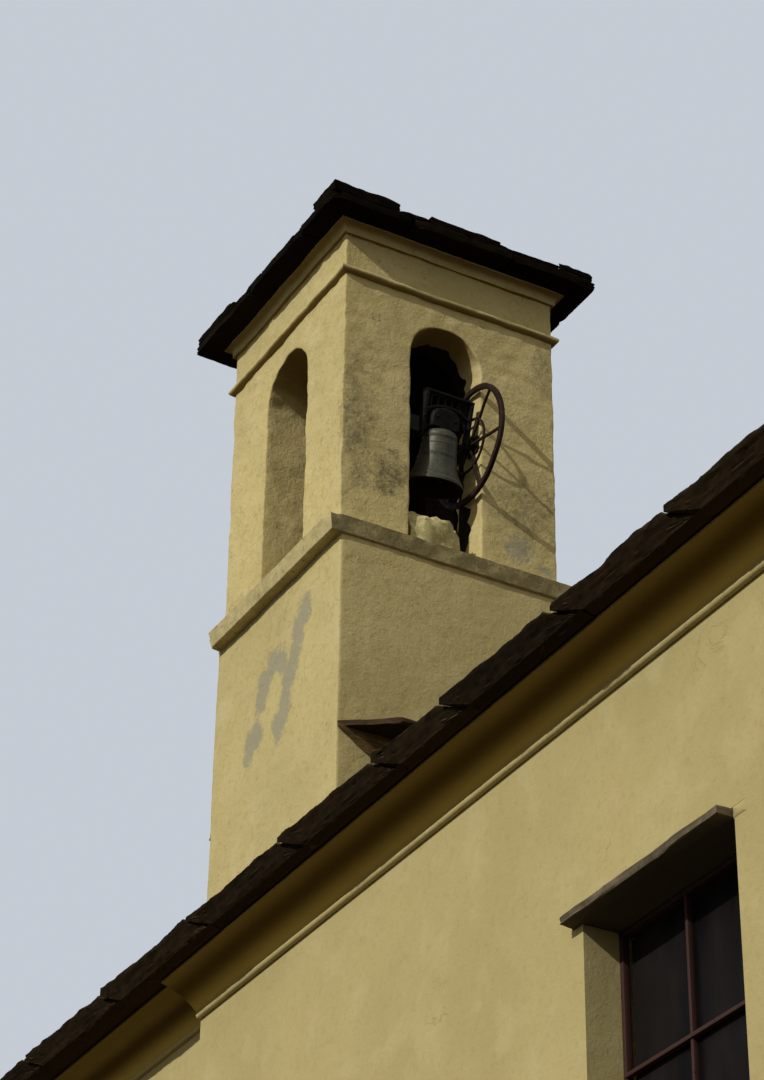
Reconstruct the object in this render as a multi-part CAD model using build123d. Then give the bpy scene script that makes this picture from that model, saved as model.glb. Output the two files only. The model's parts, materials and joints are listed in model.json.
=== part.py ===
from build123d import *
import math
import os

# Nave and choir. X runs across, Y from the door end to the choir end, Z up from the ground.
NAVE_WIDTH = 5300
NAVE_LENGTH = 7700
CHOIR_LENGTH = 2900
CHOIR_STEP = 65
WALL = 500
FLOOR_THICKNESS = 120
FLOOR_GAP = 0.3

# Roof of stone slabs on boards. EAVE_SEAT is where the slabs' underside meets the outer wall face.
EAVE_SEAT = 7518
PITCH = 22
BOARD = 42
EAVE_OVERHANG = 240
VERGE_OVERHANG = 220
COURSES = 10
EAVE_EDGE = 145
SLAB_LOW_EDGE = 118
SLAB_HIGH_EDGE = 62
RIDGE_STONE_REACH = 260
RIDGE_STONE = 60
RIDGE_BEAM_WIDTH = 180
RIDGE_BEAM_DEPTH = 240

# Coved cornice under the eaves, with a round moulding at its foot. The hollow's middle point lies at the
# shares MID_OUT of its reach and MID_UP of its rise.
MOULDING_Z = 7290
MOULDING = 24
MOULDING_OUT = 26
COVE_FOOT = 20
COVE_REACH = 210
COVE_LIP = 12
COVE_MID_OUT = 0.44
COVE_MID_UP = 0.6
CHOIR_FILLET = 18

# Windows, one in each side wall and one over the door, all alike
WINDOW_WIDTH = 970
WINDOW_TOP = 6425
WINDOW_HEIGHT = 1600
WINDOW_FROM_TOWER = 2460
WINDOW_REVEAL = 150
FRAME_FACE = 48
FRAME_DEPTH = 56
BAR_FACE = 26
BAR_DEPTH = 30
PANE_ROWS = 3
GLASS = 6
LINTEL_SLAB = 46
LINTEL_PROUD = 72
LINTEL_BEARING = 70
LINTEL_SET_IN = 320

# Door in the front wall
DOOR_WIDTH = 1250
DOOR_HEIGHT = 2350
DOOR_REVEAL = 160
DOOR_FRAME = 70
DOOR_FRAME_DEPTH = 80
DOOR_LEAF = 50
DOOR_GAP = 4
STEP_HEIGHT = 120

# Bell turret: a square shaft at the nave's corner, flush with its side wall and its end
SHAFT_WIDTH = 1256
SHAFT_DEPTH = 1280
SHAFT_WALL = 330
BAND_Z = 9180
BAND = 100
BAND_PROUD = 92
BAND_SHORT = 85

# Belfry stage above the band
STAGE_WIDTH = 1200
STAGE_DEPTH = 1212
STAGE_SET_IN_X = 11
STAGE_SET_IN_Y = 35
STAGE_WALL = 260
STAGE_HEIGHT = 1845
SPRING_FROM_TOP = 650
FRONT_OPENING = 400
FRONT_OPENING_SHIFT = -26
SIDE_OPENING = 440
SIDE_SILL = 160
SIDE_SILL_FALL = 50
SILL_BLOCK_LENGTH = 307
SILL_BLOCK_HEIGHT = 280
SILL_BLOCK_ROUND = 60
STRING_FROM_TOP = 305
STRING = 42
STRING_PROUD = 30
CORNICE_DEPTH = 61
CORNICE_FOOT = 16
CORNICE_PROUD = 52
CURVE_CHORDS = 6

# Belfry roof: level slab courses, each one set back from the one below
TOP_SLAB = 62
TOP_OVERHANG = 168
TOP_COURSES = 5
TOP_SET_BACK = 132
CAP_STONE = 90
CAP_TAPER = 35

# Flashing slabs let in level over the roof on the near and far sides of the shaft, cut slanting at the end
FLASHING_Z = 8218
FLASHING = 36
FLASHING_PROUD = 175
FLASHING_SLANT = 240

# Bell, hung by a cast-iron headstock on two stub journals
AXLE_INSET = 65
AXLE_ABOVE_BAND = 788
BELL_LEAN = 16
BELL_FROM_SIDE = 594
MOUTH_RADIUS = 150
SHOULDER_RADIUS = 84
BELL_HEIGHT = 300
BELL_WALL = 11
SOUND_BOW = 21
BELL_SHOULDER = 34
BELL_CROWN_FLAT = 36
WAIST_MORE = 7
FLARE_MORE = 17
BOW_LESS = 20
LIP_RISE = 10
LOW_RING_Z = 42
FLARE_Z = 110
WAIST_RING_Z = 165
WAIST_Z = 170
HIGH_RING_Z = 252
MOUTH_DROP = 272
JOURNAL_RADIUS = 14
JOURNAL_CLEARANCE = 0.5
HEADSTOCK_HALF_WIDTH = 122
HEADSTOCK_THICK = 46
HEADSTOCK_TOP = 222
HEADSTOCK_LOW = 30
HEADSTOCK_POST = 20
HEADSTOCK_BAND = 16
YOKE_TOP = 160
YOKE_FALL = 48
HEADSTOCK_BARS = 6
HEADSTOCK_BAR = 9
CROWN_BLOCK_DEPTH = 84
CROWN_BLOCK_ROUND = 36
RAIL = 14
BELL_RING = 3
BEARING_SIDE = 92
LEFT_BEARING = 60
RIGHT_BEARING = 10
HUB_GAP = 5
HUB_PROUD = 6
JOURNAL_GAP = 2

# Bell wheel
WHEEL_RADIUS = 325
WHEEL_RIM = 28
WHEEL_THICK = 16
WHEEL_SPOKES = 6
FIRST_SPOKE = 26
WHEEL_FROM_JAMB = 28
HUB_RADIUS = 34
SPOKE = 14
SPOKE_THICK = 14
BRACE_RING_THICK = 12
BRACE_RING_RADIUS = 150

# Clapper
CLAPPER_BALL = 24
CLAPPER_ROD = 7
CLAPPER_TAIL = 9
CLAPPER_EYE = 13
CLAPPER_GAP = 0.3
CLAPPER_LENGTH = 240

half = NAVE_WIDTH / 2
choir_half = half - CHOIR_STEP
front_y = -(NAVE_LENGTH + CHOIR_LENGTH) / 2
nave_end_y = front_y + NAVE_LENGTH
choir_end_y = nave_end_y + CHOIR_LENGTH
slope = math.tan(math.radians(PITCH))
board_rise = BOARD / math.cos(math.radians(PITCH))

shaft_x0 = -half
shaft_x1 = shaft_x0 + SHAFT_WIDTH
shaft_y1 = nave_end_y
shaft_y0 = shaft_y1 - SHAFT_DEPTH
band_top = BAND_Z + BAND
stage_top = band_top + STAGE_HEIGHT
spring_z = stage_top - SPRING_FROM_TOP
string_z = stage_top - STRING_FROM_TOP
axle_z = band_top + AXLE_ABOVE_BAND

stage_x0 = shaft_x0 + STAGE_SET_IN_X
stage_x1 = stage_x0 + STAGE_WIDTH
stage_y0 = shaft_y0 + STAGE_SET_IN_Y
stage_y1 = stage_y0 + STAGE_DEPTH
stage_cx = (stage_x0 + stage_x1) / 2
stage_cy = (stage_y0 + stage_y1) / 2
opening_cx = stage_cx + FRONT_OPENING_SHIFT
opening_x0 = opening_cx - FRONT_OPENING / 2
opening_x1 = opening_cx + FRONT_OPENING / 2
side_y0 = stage_cy - SIDE_OPENING / 2
side_y1 = stage_cy + SIDE_OPENING / 2

os.makedirs("parts", exist_ok=True)


def save(name, shape):
    export_step(shape, f"parts/{name}.step")


def block(x0, x1, y0, y1, z0, z1):
    """A box between two corners, given in either order."""
    sizes = (abs(x1 - x0), abs(y1 - y0), abs(z1 - z0))
    return Pos((x0 + x1) / 2, (y0 + y1) / 2, (z0 + z1) / 2) * Box(*sizes)


def along_y(points, y0, y1):
    """An outline in X and Z carried along Y."""
    face = make_face(Polyline(*[(x, y0, z) for x, z in points], close=True))
    return extrude(face, amount=y1 - y0, dir=(0, 1, 0))


def along_x(points, x0, x1):
    """An outline in Y and Z carried along X."""
    face = make_face(Polyline(*[(x0, y, z) for y, z in points], close=True))
    return extrude(face, amount=x1 - x0, dir=(1, 0, 0))


def seat_z(x):
    """Height of the slabs' underside over a place across the nave."""
    return EAVE_SEAT + (half - abs(x)) * slope


def wall_z(x):
    """Height of the boards' underside, where walls and gables stop."""
    return seat_z(x) - board_rise


def side_wall(face_x, y0, y1):
    """A side wall whose top follows the roof; face_x is its outer face."""
    inner = face_x - math.copysign(WALL, face_x)
    return along_y([(face_x, 0), (inner, 0), (inner, wall_z(inner)), (face_x, wall_z(face_x))], y0, y1)


def gable_wall(half_width, y0, y1):
    """An end wall with its gable."""
    outline = [
        (-half_width, 0),
        (half_width, 0),
        (half_width, wall_z(half_width)),
        (0, wall_z(0)),
        (-half_width, wall_z(half_width)),
    ]
    return along_y(outline, y0, y1)


# Window pieces are made in the front wall's place and turned or moved to their own walls.
window_sill = WINDOW_TOP - WINDOW_HEIGHT


def window_hole():
    """The opening through a wall whose outer face is at Y 0, with the bed of its lintel slab."""
    hole = block(-WINDOW_WIDTH / 2, WINDOW_WIDTH / 2, -WALL, 2 * WALL, window_sill, WINDOW_TOP)
    reach = WINDOW_WIDTH / 2 + LINTEL_BEARING
    bed = block(-reach, reach, -WALL, LINTEL_SET_IN, WINDOW_TOP, WINDOW_TOP + LINTEL_SLAB)
    return hole + bed


def lintel_slab(width, top):
    reach = width / 2 + LINTEL_BEARING
    return block(-reach, reach, -LINTEL_PROUD, LINTEL_SET_IN, top, top + LINTEL_SLAB)


def window_frame():
    """Outer frame with one upright bar and level bars between the rows of panes."""
    y0 = WINDOW_REVEAL
    outer = block(-WINDOW_WIDTH / 2, WINDOW_WIDTH / 2, y0, y0 + FRAME_DEPTH, window_sill, WINDOW_TOP)
    inner_x = WINDOW_WIDTH / 2 - FRAME_FACE
    inner_z0 = window_sill + FRAME_FACE
    inner_z1 = WINDOW_TOP - FRAME_FACE
    frame = outer - block(-inner_x, inner_x, y0, y0 + FRAME_DEPTH, inner_z0, inner_z1)
    frame += block(-BAR_FACE / 2, BAR_FACE / 2, y0, y0 + BAR_DEPTH, inner_z0, inner_z1)
    for row in range(1, PANE_ROWS):
        z = window_sill + WINDOW_HEIGHT * row / PANE_ROWS
        frame += block(-inner_x, inner_x, y0, y0 + BAR_DEPTH, z - BAR_FACE / 2, z + BAR_FACE / 2)
    return frame


def window_pane():
    """One sheet of glass bedded behind the bars."""
    y0 = WINDOW_REVEAL + BAR_DEPTH
    inner_x = WINDOW_WIDTH / 2 - FRAME_FACE
    return block(-inner_x, inner_x, y0, y0 + GLASS, window_sill + FRAME_FACE, WINDOW_TOP - FRAME_FACE)


window_y = shaft_y0 - WINDOW_FROM_TOWER
WINDOW_PLACES = (
    Pos(-half, window_y, 0) * Rot(0, 0, -90),
    Pos(half, window_y, 0) * Rot(0, 0, 90),
    Pos(0, front_y, 0),
)
left_place, right_place, front_place = WINDOW_PLACES

# Walls
inner_front = front_y + WALL
inner_end = choir_end_y - WALL
save("left_wall", side_wall(-half, inner_front, shaft_y0) - left_place * window_hole())
save("right_wall", side_wall(half, inner_front, nave_end_y) - right_place * window_hole())
save("choir_left_wall", side_wall(-choir_half, nave_end_y, inner_end))
save("choir_right_wall", side_wall(choir_half, nave_end_y, inner_end))
save("choir_end_wall", gable_wall(choir_half, inner_end, choir_end_y))

door_top = STEP_HEIGHT + DOOR_HEIGHT
door_hole = block(
    -DOOR_WIDTH / 2, DOOR_WIDTH / 2, front_y - WALL, inner_front + WALL, 0, door_top
)
door_bed = block(
    -DOOR_WIDTH / 2 - LINTEL_BEARING,
    DOOR_WIDTH / 2 + LINTEL_BEARING,
    front_y - WALL,
    front_y + LINTEL_SET_IN,
    door_top,
    door_top + LINTEL_SLAB,
)
front = gable_wall(half, front_y, inner_front) - front_place * window_hole() - door_hole - door_bed
save("front_wall", front)

# Floor inside the walls, clear of them all round by a joint, and round the foot of the shaft
inner_half = half - WALL - FLOOR_GAP
choir_inner = choir_half - WALL - FLOOR_GAP
floor = block(
    -inner_half, inner_half, inner_front + FLOOR_GAP, nave_end_y, 0, FLOOR_THICKNESS
) + block(-choir_inner, choir_inner, nave_end_y, inner_end - FLOOR_GAP, 0, FLOOR_THICKNESS)
floor -= block(
    shaft_x0 - WALL,
    shaft_x1 + FLOOR_GAP,
    shaft_y0 - FLOOR_GAP,
    shaft_y1 + FLOOR_GAP,
    -FLOOR_THICKNESS,
    2 * FLOOR_THICKNESS,
)
save("nave_floor", floor)
save(
    "door_step",
    block(-DOOR_WIDTH / 2, DOOR_WIDTH / 2, front_y, inner_front, 0, STEP_HEIGHT),
)

# Door frame and its two leaves
frame_y0 = front_y + DOOR_REVEAL
frame_y1 = frame_y0 + DOOR_FRAME_DEPTH
door_frame = block(-DOOR_WIDTH / 2, DOOR_WIDTH / 2, frame_y0, frame_y1, STEP_HEIGHT, door_top)
leaf_x = DOOR_WIDTH / 2 - DOOR_FRAME
leaf_top = door_top - DOOR_FRAME
door_frame -= block(-leaf_x, leaf_x, frame_y0, frame_y1, STEP_HEIGHT, leaf_top)
save("door_frame", door_frame)
leaves = [
    block(side * DOOR_GAP / 2, side * leaf_x, frame_y0, frame_y0 + DOOR_LEAF, STEP_HEIGHT, leaf_top)
    for side in (-1, 1)
]
save("door_leaves", Compound(children=leaves))

# Windows
save("window_frames", Compound(children=[place * window_frame() for place in WINDOW_PLACES]))
save("window_panes", Compound(children=[place * window_pane() for place in WINDOW_PLACES]))
lintels = [place * lintel_slab(WINDOW_WIDTH, WINDOW_TOP) for place in WINDOW_PLACES]
lintels.append(front_place * lintel_slab(DOOR_WIDTH, door_top))
save("lintel_slabs", Compound(children=lintels))


# Coved cornice along the eaves: a quarter hollow and a lip under the slabs, with a foot below it
def cornice(face_x, y0, y1, round_foot):
    """The nave's cornice stands on a round moulding, the choir's on a thin square fillet."""
    side = math.copysign(1, face_x)
    foot_z = MOULDING_Z + MOULDING
    tip_z = seat_z(abs(face_x) + COVE_REACH) - COVE_LIP

    def at(out, z):
        return (face_x + side * out, y0, z)

    hollow_mid = at(
        COVE_FOOT + (COVE_REACH - COVE_FOOT) * COVE_MID_OUT,
        foot_z + (tip_z - foot_z) * COVE_MID_UP,
    )
    if round_foot:
        low_z = MOULDING_Z
        foot = [ThreePointArc(at(0, low_z), at(MOULDING_OUT, low_z + MOULDING / 2), at(COVE_FOOT, foot_z))]
    else:
        low_z = foot_z - CHOIR_FILLET
        foot = [
            Line(at(0, low_z), at(COVE_FOOT, low_z)),
            Line(at(COVE_FOOT, low_z), at(COVE_FOOT, foot_z)),
        ]
    outline = foot + [
        ThreePointArc(at(COVE_FOOT, foot_z), hollow_mid, at(COVE_REACH, tip_z)),
        Line(at(COVE_REACH, tip_z), at(COVE_REACH, tip_z + COVE_LIP)),
        Line(at(COVE_REACH, tip_z + COVE_LIP), at(0, seat_z(face_x))),
        Line(at(0, seat_z(face_x)), at(0, low_z)),
    ]
    return extrude(make_face(outline), amount=y1 - y0, dir=(0, 1, 0))


save("left_cornice", cornice(-half, front_y, nave_end_y, True))
save("right_cornice", cornice(half, front_y, nave_end_y, True))
save("choir_left_cornice", cornice(-choir_half, nave_end_y, choir_end_y, False))
save("choir_right_cornice", cornice(choir_half, nave_end_y, choir_end_y, False))


# Roof
def boards(side):
    """Boarding of one slope, narrower over the choir."""
    solids = []
    for reach, y0, y1 in ((half, front_y, nave_end_y), (choir_half, nave_end_y, choir_end_y)):
        outline = [
            (0, wall_z(0)),
            (side * reach, wall_z(reach)),
            (side * reach, seat_z(reach)),
            (0, seat_z(0)),
        ]
        solids.append(along_y(outline, y0, y1))
    return solids[0] + solids[1]


def slab_courses(side):
    """Stone slabs of one slope: each course rests on the head of the one below it."""
    angle = math.radians(PITCH)
    eave_x = half + EAVE_OVERHANG
    length = eave_x / math.cos(angle)
    step = length / COURSES

    def on_slope(run, lift):
        x = eave_x - run * math.cos(angle) + lift * math.sin(angle)
        z = seat_z(eave_x) + run * math.sin(angle) + lift * math.cos(angle)
        return (side * x, z)

    outline = [on_slope(0, 0)]
    for course in range(COURSES - 1):
        outline.append(on_slope(course * step, SLAB_LOW_EDGE if course else EAVE_EDGE))
        outline.append(on_slope((course + 1) * step, SLAB_HIGH_EDGE))
    outline.append(on_slope((COURSES - 1) * step, SLAB_LOW_EDGE))
    outline.append(on_slope(length + SLAB_LOW_EDGE, SLAB_LOW_EDGE))
    outline.append(on_slope(length + SLAB_LOW_EDGE, 0))
    solid = along_y(outline, front_y - VERGE_OVERHANG, choir_end_y + VERGE_OVERHANG)
    keep = block(
        min(0, 2 * side * half), max(0, 2 * side * half), 2 * front_y, 2 * choir_end_y, 0, 2 * EAVE_SEAT
    )
    return solid & keep


shaft_room = block(shaft_x0, shaft_x1, shaft_y0, shaft_y1, 0, BAND_Z)
save("left_roof_boards", boards(-1) - shaft_room)
save("right_roof_boards", boards(1))
save("left_roof_slabs", slab_courses(-1) - shaft_room)
save("right_roof_slabs", slab_courses(1))

# Ridge: a timber beam inside and a pair of slabs over the joint outside
slab_top = seat_z(0) + SLAB_LOW_EDGE / math.cos(math.radians(PITCH))
ridge_fall = RIDGE_STONE_REACH * slope
ridge_outline = [
    (0, slab_top),
    (RIDGE_STONE_REACH, slab_top - ridge_fall),
    (RIDGE_STONE_REACH, slab_top - ridge_fall + RIDGE_STONE),
    (0, slab_top + RIDGE_STONE),
    (-RIDGE_STONE_REACH, slab_top - ridge_fall + RIDGE_STONE),
    (-RIDGE_STONE_REACH, slab_top - ridge_fall),
]
save("ridge_stones", along_y(ridge_outline, front_y - VERGE_OVERHANG, choir_end_y + VERGE_OVERHANG))
beam_half = RIDGE_BEAM_WIDTH / 2
beam_outline = [
    (-beam_half, wall_z(0) - RIDGE_BEAM_DEPTH),
    (beam_half, wall_z(0) - RIDGE_BEAM_DEPTH),
    (beam_half, wall_z(beam_half)),
    (0, wall_z(0)),
    (-beam_half, wall_z(beam_half)),
]
save("ridge_beam", along_y(beam_outline, inner_front, inner_end))

# Turret shaft: four walls from the ground up to the band
room_x0 = shaft_x0 + SHAFT_WALL
room_x1 = shaft_x1 - SHAFT_WALL
room_y0 = shaft_y0 + SHAFT_WALL
room_y1 = shaft_y1 - SHAFT_WALL
save("shaft_front_wall", block(shaft_x0, shaft_x1, shaft_y0, room_y0, 0, BAND_Z))
save("shaft_rear_wall", block(shaft_x0, shaft_x1, room_y1, shaft_y1, 0, BAND_Z))
shaft_sides = [
    block(shaft_x0, room_x0, room_y0, room_y1, 0, BAND_Z),
    block(room_x1, shaft_x1, room_y0, room_y1, 0, BAND_Z),
]
save("shaft_side_walls", Compound(children=shaft_sides))


# Flashing slabs on the near and far faces
def flashing(wall_y, edge_y):
    plan = [(shaft_x0, wall_y), (shaft_x1, wall_y), (shaft_x1, edge_y), (shaft_x0 + FLASHING_SLANT, edge_y)]
    face = make_face(Polyline(*[(x, y, FLASHING_Z) for x, y in plan], close=True))
    return extrude(face, amount=FLASHING, dir=(0, 0, 1))


flashings = [
    flashing(shaft_y0, shaft_y0 - FLASHING_PROUD),
    flashing(shaft_y1, shaft_y1 + FLASHING_PROUD),
]
save("flashing_slabs", Compound(children=flashings))

# The stone band stands out on three sides and stops short of the far corners; the belfry floor is let into it
chamber = block(
    stage_x0 + STAGE_WALL,
    stage_x1 - STAGE_WALL,
    stage_y0 + STAGE_WALL,
    stage_y1 - STAGE_WALL,
    BAND_Z,
    stage_top,
)
band = block(shaft_x0, shaft_x1, shaft_y0, shaft_y1, BAND_Z, band_top) + block(
    shaft_x0 - BAND_PROUD,
    shaft_x1 + BAND_PROUD,
    shaft_y0 - BAND_PROUD,
    shaft_y1 - BAND_SHORT,
    BAND_Z,
    band_top,
)
save("stone_band", band - chamber)
save("belfry_floor", chamber & block(stage_x0, stage_x1, stage_y0, stage_y1, BAND_Z, band_top))

# Corner piers of the belfry, each an angle of two wall ends
for name, px0, px1, py0, py1 in (
    ("front_left_pier", stage_x0, opening_x0, stage_y0, side_y0),
    ("front_right_pier", opening_x1, stage_x1, stage_y0, side_y0),
    ("rear_left_pier", stage_x0, opening_x0, side_y1, stage_y1),
    ("rear_right_pier", opening_x1, stage_x1, side_y1, stage_y1),
):
    save(name, block(px0, px1, py0, py1, band_top, spring_z) - chamber)

# Arch heads over the four openings, up to the wall head
arch_front_to_rear = Rot(90, 0, 0) * Cylinder(FRONT_OPENING / 2, 2 * STAGE_DEPTH)
front_arch = Pos(opening_cx, stage_cy, spring_z) * arch_front_to_rear
side_arch = Pos(stage_cx, stage_cy, spring_z) * Rot(0, 90, 0) * Cylinder(SIDE_OPENING / 2, 2 * STAGE_WIDTH)
wall_y0 = stage_y0 + STAGE_WALL
wall_y1 = stage_y1 - STAGE_WALL
save("front_arch", block(stage_x0, stage_x1, stage_y0, wall_y0, spring_z, stage_top) - front_arch)
save("rear_arch", block(stage_x0, stage_x1, wall_y1, stage_y1, spring_z, stage_top) - front_arch)
left_head = block(stage_x0, stage_x0 + STAGE_WALL, wall_y0, wall_y1, spring_z, stage_top)
right_head = block(stage_x1 - STAGE_WALL, stage_x1, wall_y0, wall_y1, spring_z, stage_top)
save("left_arch", left_head - side_arch)
save("right_arch", right_head - side_arch)

# Sills: a rough block in the bell's opening, sloping masonry in the others
sill_block = block(
    opening_x0, opening_x0 + SILL_BLOCK_LENGTH, stage_y0, wall_y0, band_top, band_top + SILL_BLOCK_HEIGHT
)
free_corner = sill_block.edges().filter_by(Axis.Y).group_by(Axis.Z)[-1].sort_by(Axis.X)[-1]
save("front_sill_block", fillet(free_corner, SILL_BLOCK_ROUND))
sill_out = band_top + SIDE_SILL
sill_in = sill_out + SIDE_SILL_FALL


def side_sill(outer_x, inner_x):
    return along_y(
        [(outer_x, band_top), (inner_x, band_top), (inner_x, sill_in), (outer_x, sill_out)], side_y0, side_y1
    )


rear_sill = along_x(
    [(stage_y1, band_top), (wall_y1, band_top), (wall_y1, sill_in), (stage_y1, sill_out)],
    opening_x0,
    opening_x1,
)
left_sill = side_sill(stage_x0, stage_x0 + STAGE_WALL)
right_sill = side_sill(stage_x1, stage_x1 - STAGE_WALL)
save("belfry_sills", Compound(children=[left_sill, right_sill, rear_sill]))


# Mouldings that run round the belfry, mitred at the corners
def mitred_ring(profile):
    """profile lists how far the moulding stands out at each height, from the bottom up."""
    low = profile[0][1]
    high = profile[-1][1]
    back_down = profile[::-1]
    across = [(stage_x0 - out, z) for out, z in profile] + [(stage_x1 + out, z) for out, z in back_down]
    deep = [(stage_y0 - out, z) for out, z in profile] + [(stage_y1 + out, z) for out, z in back_down]
    most = max(out for out, z in profile)
    run_y = along_y(across, stage_y0 - 2 * most, stage_y1 + 2 * most)
    run_x = along_x(deep, stage_x0 - 2 * most, stage_x1 + 2 * most)
    return (run_y & run_x) - block(stage_x0, stage_x1, stage_y0, stage_y1, low, high)


def round_profile(z, height, out):
    """A half-round bead as short chords."""
    turns = [math.pi * k / CURVE_CHORDS for k in range(CURVE_CHORDS + 1)]
    return [(out * math.sin(a), z + height / 2 - height / 2 * math.cos(a)) for a in turns]


def hollow_profile(z0, z1, out0, out1):
    """A small foot, then a quarter hollow up to the slabs."""
    turns = [math.pi / 2 * k / CURVE_CHORDS for k in range(CURVE_CHORDS + 1)]
    hollow = [(out0 + (out1 - out0) * (1 - math.cos(a)), z0 + (z1 - z0) * math.sin(a)) for a in turns]
    return [(0, z0 - out0), (out0, z0 - out0)] + hollow


bead = round_profile(string_z, STRING, STRING_PROUD)
bead[0] = (0, bead[0][1])
bead[-1] = (0, bead[-1][1])
save("string_course", mitred_ring(bead))
hollow_z = stage_top - CORNICE_DEPTH + CORNICE_FOOT
save("belfry_cornice", mitred_ring(hollow_profile(hollow_z, stage_top, CORNICE_FOOT, CORNICE_PROUD)))


# Belfry roof
def course(number):
    back = number * TOP_SET_BACK - TOP_OVERHANG
    z = stage_top + number * TOP_SLAB
    return block(stage_x0 + back, stage_x1 - back, stage_y0 + back, stage_y1 - back, z, z + TOP_SLAB)


save("belfry_eave_slabs", course(0))
upper = course(1)
for number in range(2, TOP_COURSES):
    upper += course(number)
cap_z = stage_top + TOP_COURSES * TOP_SLAB
cap_half = STAGE_WIDTH / 2 - TOP_COURSES * TOP_SET_BACK + TOP_OVERHANG
cap_base = Pos(stage_cx, stage_cy, cap_z) * Rectangle(2 * cap_half, 2 * cap_half)
save("belfry_roof_courses", upper + extrude(cap_base, amount=CAP_STONE, taper=CAP_TAPER))

# Bell: revolved about its own axis, with a thick sound bow at the mouth
bell_x = shaft_x0 + BELL_FROM_SIDE
axle_y = stage_y0 + AXLE_INSET
mouth_z = axle_z - MOUTH_DROP
bell_place = Pos(bell_x, axle_y, mouth_z)


def leaning(shape):
    """What hangs on the axle stands a little turned about it, the mouth towards the inside."""
    return Pos(0, axle_y, axle_z) * Rot(BELL_LEAN, 0, 0) * Pos(0, -axle_y, -axle_z) * shape


def bell_outline():
    """Half section of the bell in its own plane, radius against height."""
    waist = SHOULDER_RADIUS + WAIST_MORE
    flare = SHOULDER_RADIUS + FLARE_MORE
    bow = MOUTH_RADIUS - BOW_LESS
    shoulder_z = BELL_HEIGHT - BELL_SHOULDER
    crown_radius = SHOULDER_RADIUS - BELL_CROWN_FLAT
    inner_shoulder = (SHOULDER_RADIUS - BELL_WALL, shoulder_z - BELL_WALL)
    inner_lip = (MOUTH_RADIUS - LIP_RISE, 0)
    inner_crown_z = BELL_HEIGHT - BELL_WALL
    outside = Spline(
        (MOUTH_RADIUS, LIP_RISE),
        (bow, LOW_RING_Z),
        (flare, FLARE_Z),
        (waist, WAIST_Z),
        (SHOULDER_RADIUS, shoulder_z),
    )
    shoulder = ThreePointArc(
        (SHOULDER_RADIUS, shoulder_z),
        (SHOULDER_RADIUS - BELL_CROWN_FLAT / 3, BELL_HEIGHT - BELL_CROWN_FLAT / 3),
        (crown_radius, BELL_HEIGHT),
    )
    inside = Spline(
        inner_shoulder,
        (waist - BELL_WALL, WAIST_Z),
        (flare - BELL_WALL, FLARE_Z),
        (bow - SOUND_BOW, LOW_RING_Z),
        inner_lip,
    )
    return [
        Line((0, BELL_HEIGHT), (crown_radius, BELL_HEIGHT)),
        shoulder,
        outside,
        Line((MOUTH_RADIUS, LIP_RISE), inner_lip),
        inside,
        Line(inner_shoulder, (crown_radius, inner_crown_z)),
        Line((crown_radius, inner_crown_z), (0, inner_crown_z)),
        Line((0, inner_crown_z), (0, BELL_HEIGHT)),
    ]


def bell_ring(radius, z):
    """A raised band round the bell, let into its wall."""
    section = Pos(radius, z) * Rectangle(2 * BELL_RING, 2 * BELL_RING)
    return revolve(Plane.XZ * section, axis=Axis.Z)


bell = revolve(Plane.XZ * make_face(bell_outline()), axis=Axis.Z)
for ring_radius, ring_z in (
    (MOUTH_RADIUS - BOW_LESS, LOW_RING_Z),
    (SHOULDER_RADIUS + WAIST_MORE, WAIST_RING_Z),
    (SHOULDER_RADIUS, HIGH_RING_Z),
):
    bell += bell_ring(ring_radius, ring_z)
save("bell", leaning(bell_place * bell))

# Headstock: end posts, a curved band over the block that grips the crown, a top rail and upright bars
crown_z = mouth_z + BELL_HEIGHT
post_low = axle_z - HEADSTOCK_LOW
top_z = axle_z + HEADSTOCK_TOP
wheel_x = opening_x1 - WHEEL_FROM_JAMB
hub_x0 = wheel_x - WHEEL_THICK / 2 - HUB_PROUD
hub_x1 = opening_x1 - RIGHT_BEARING - HUB_GAP
head_x0 = bell_x - HEADSTOCK_HALF_WIDTH
head_x1 = hub_x0
y0 = axle_y - HEADSTOCK_THICK / 2
y1 = axle_y + HEADSTOCK_THICK / 2
head_mid = (head_x0 + head_x1) / 2


def yoke_z(x):
    """Height of the curved band's upper face."""
    share = (x - head_mid) / (head_x1 - head_mid)
    return axle_z + YOKE_TOP - YOKE_FALL * share**2


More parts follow.
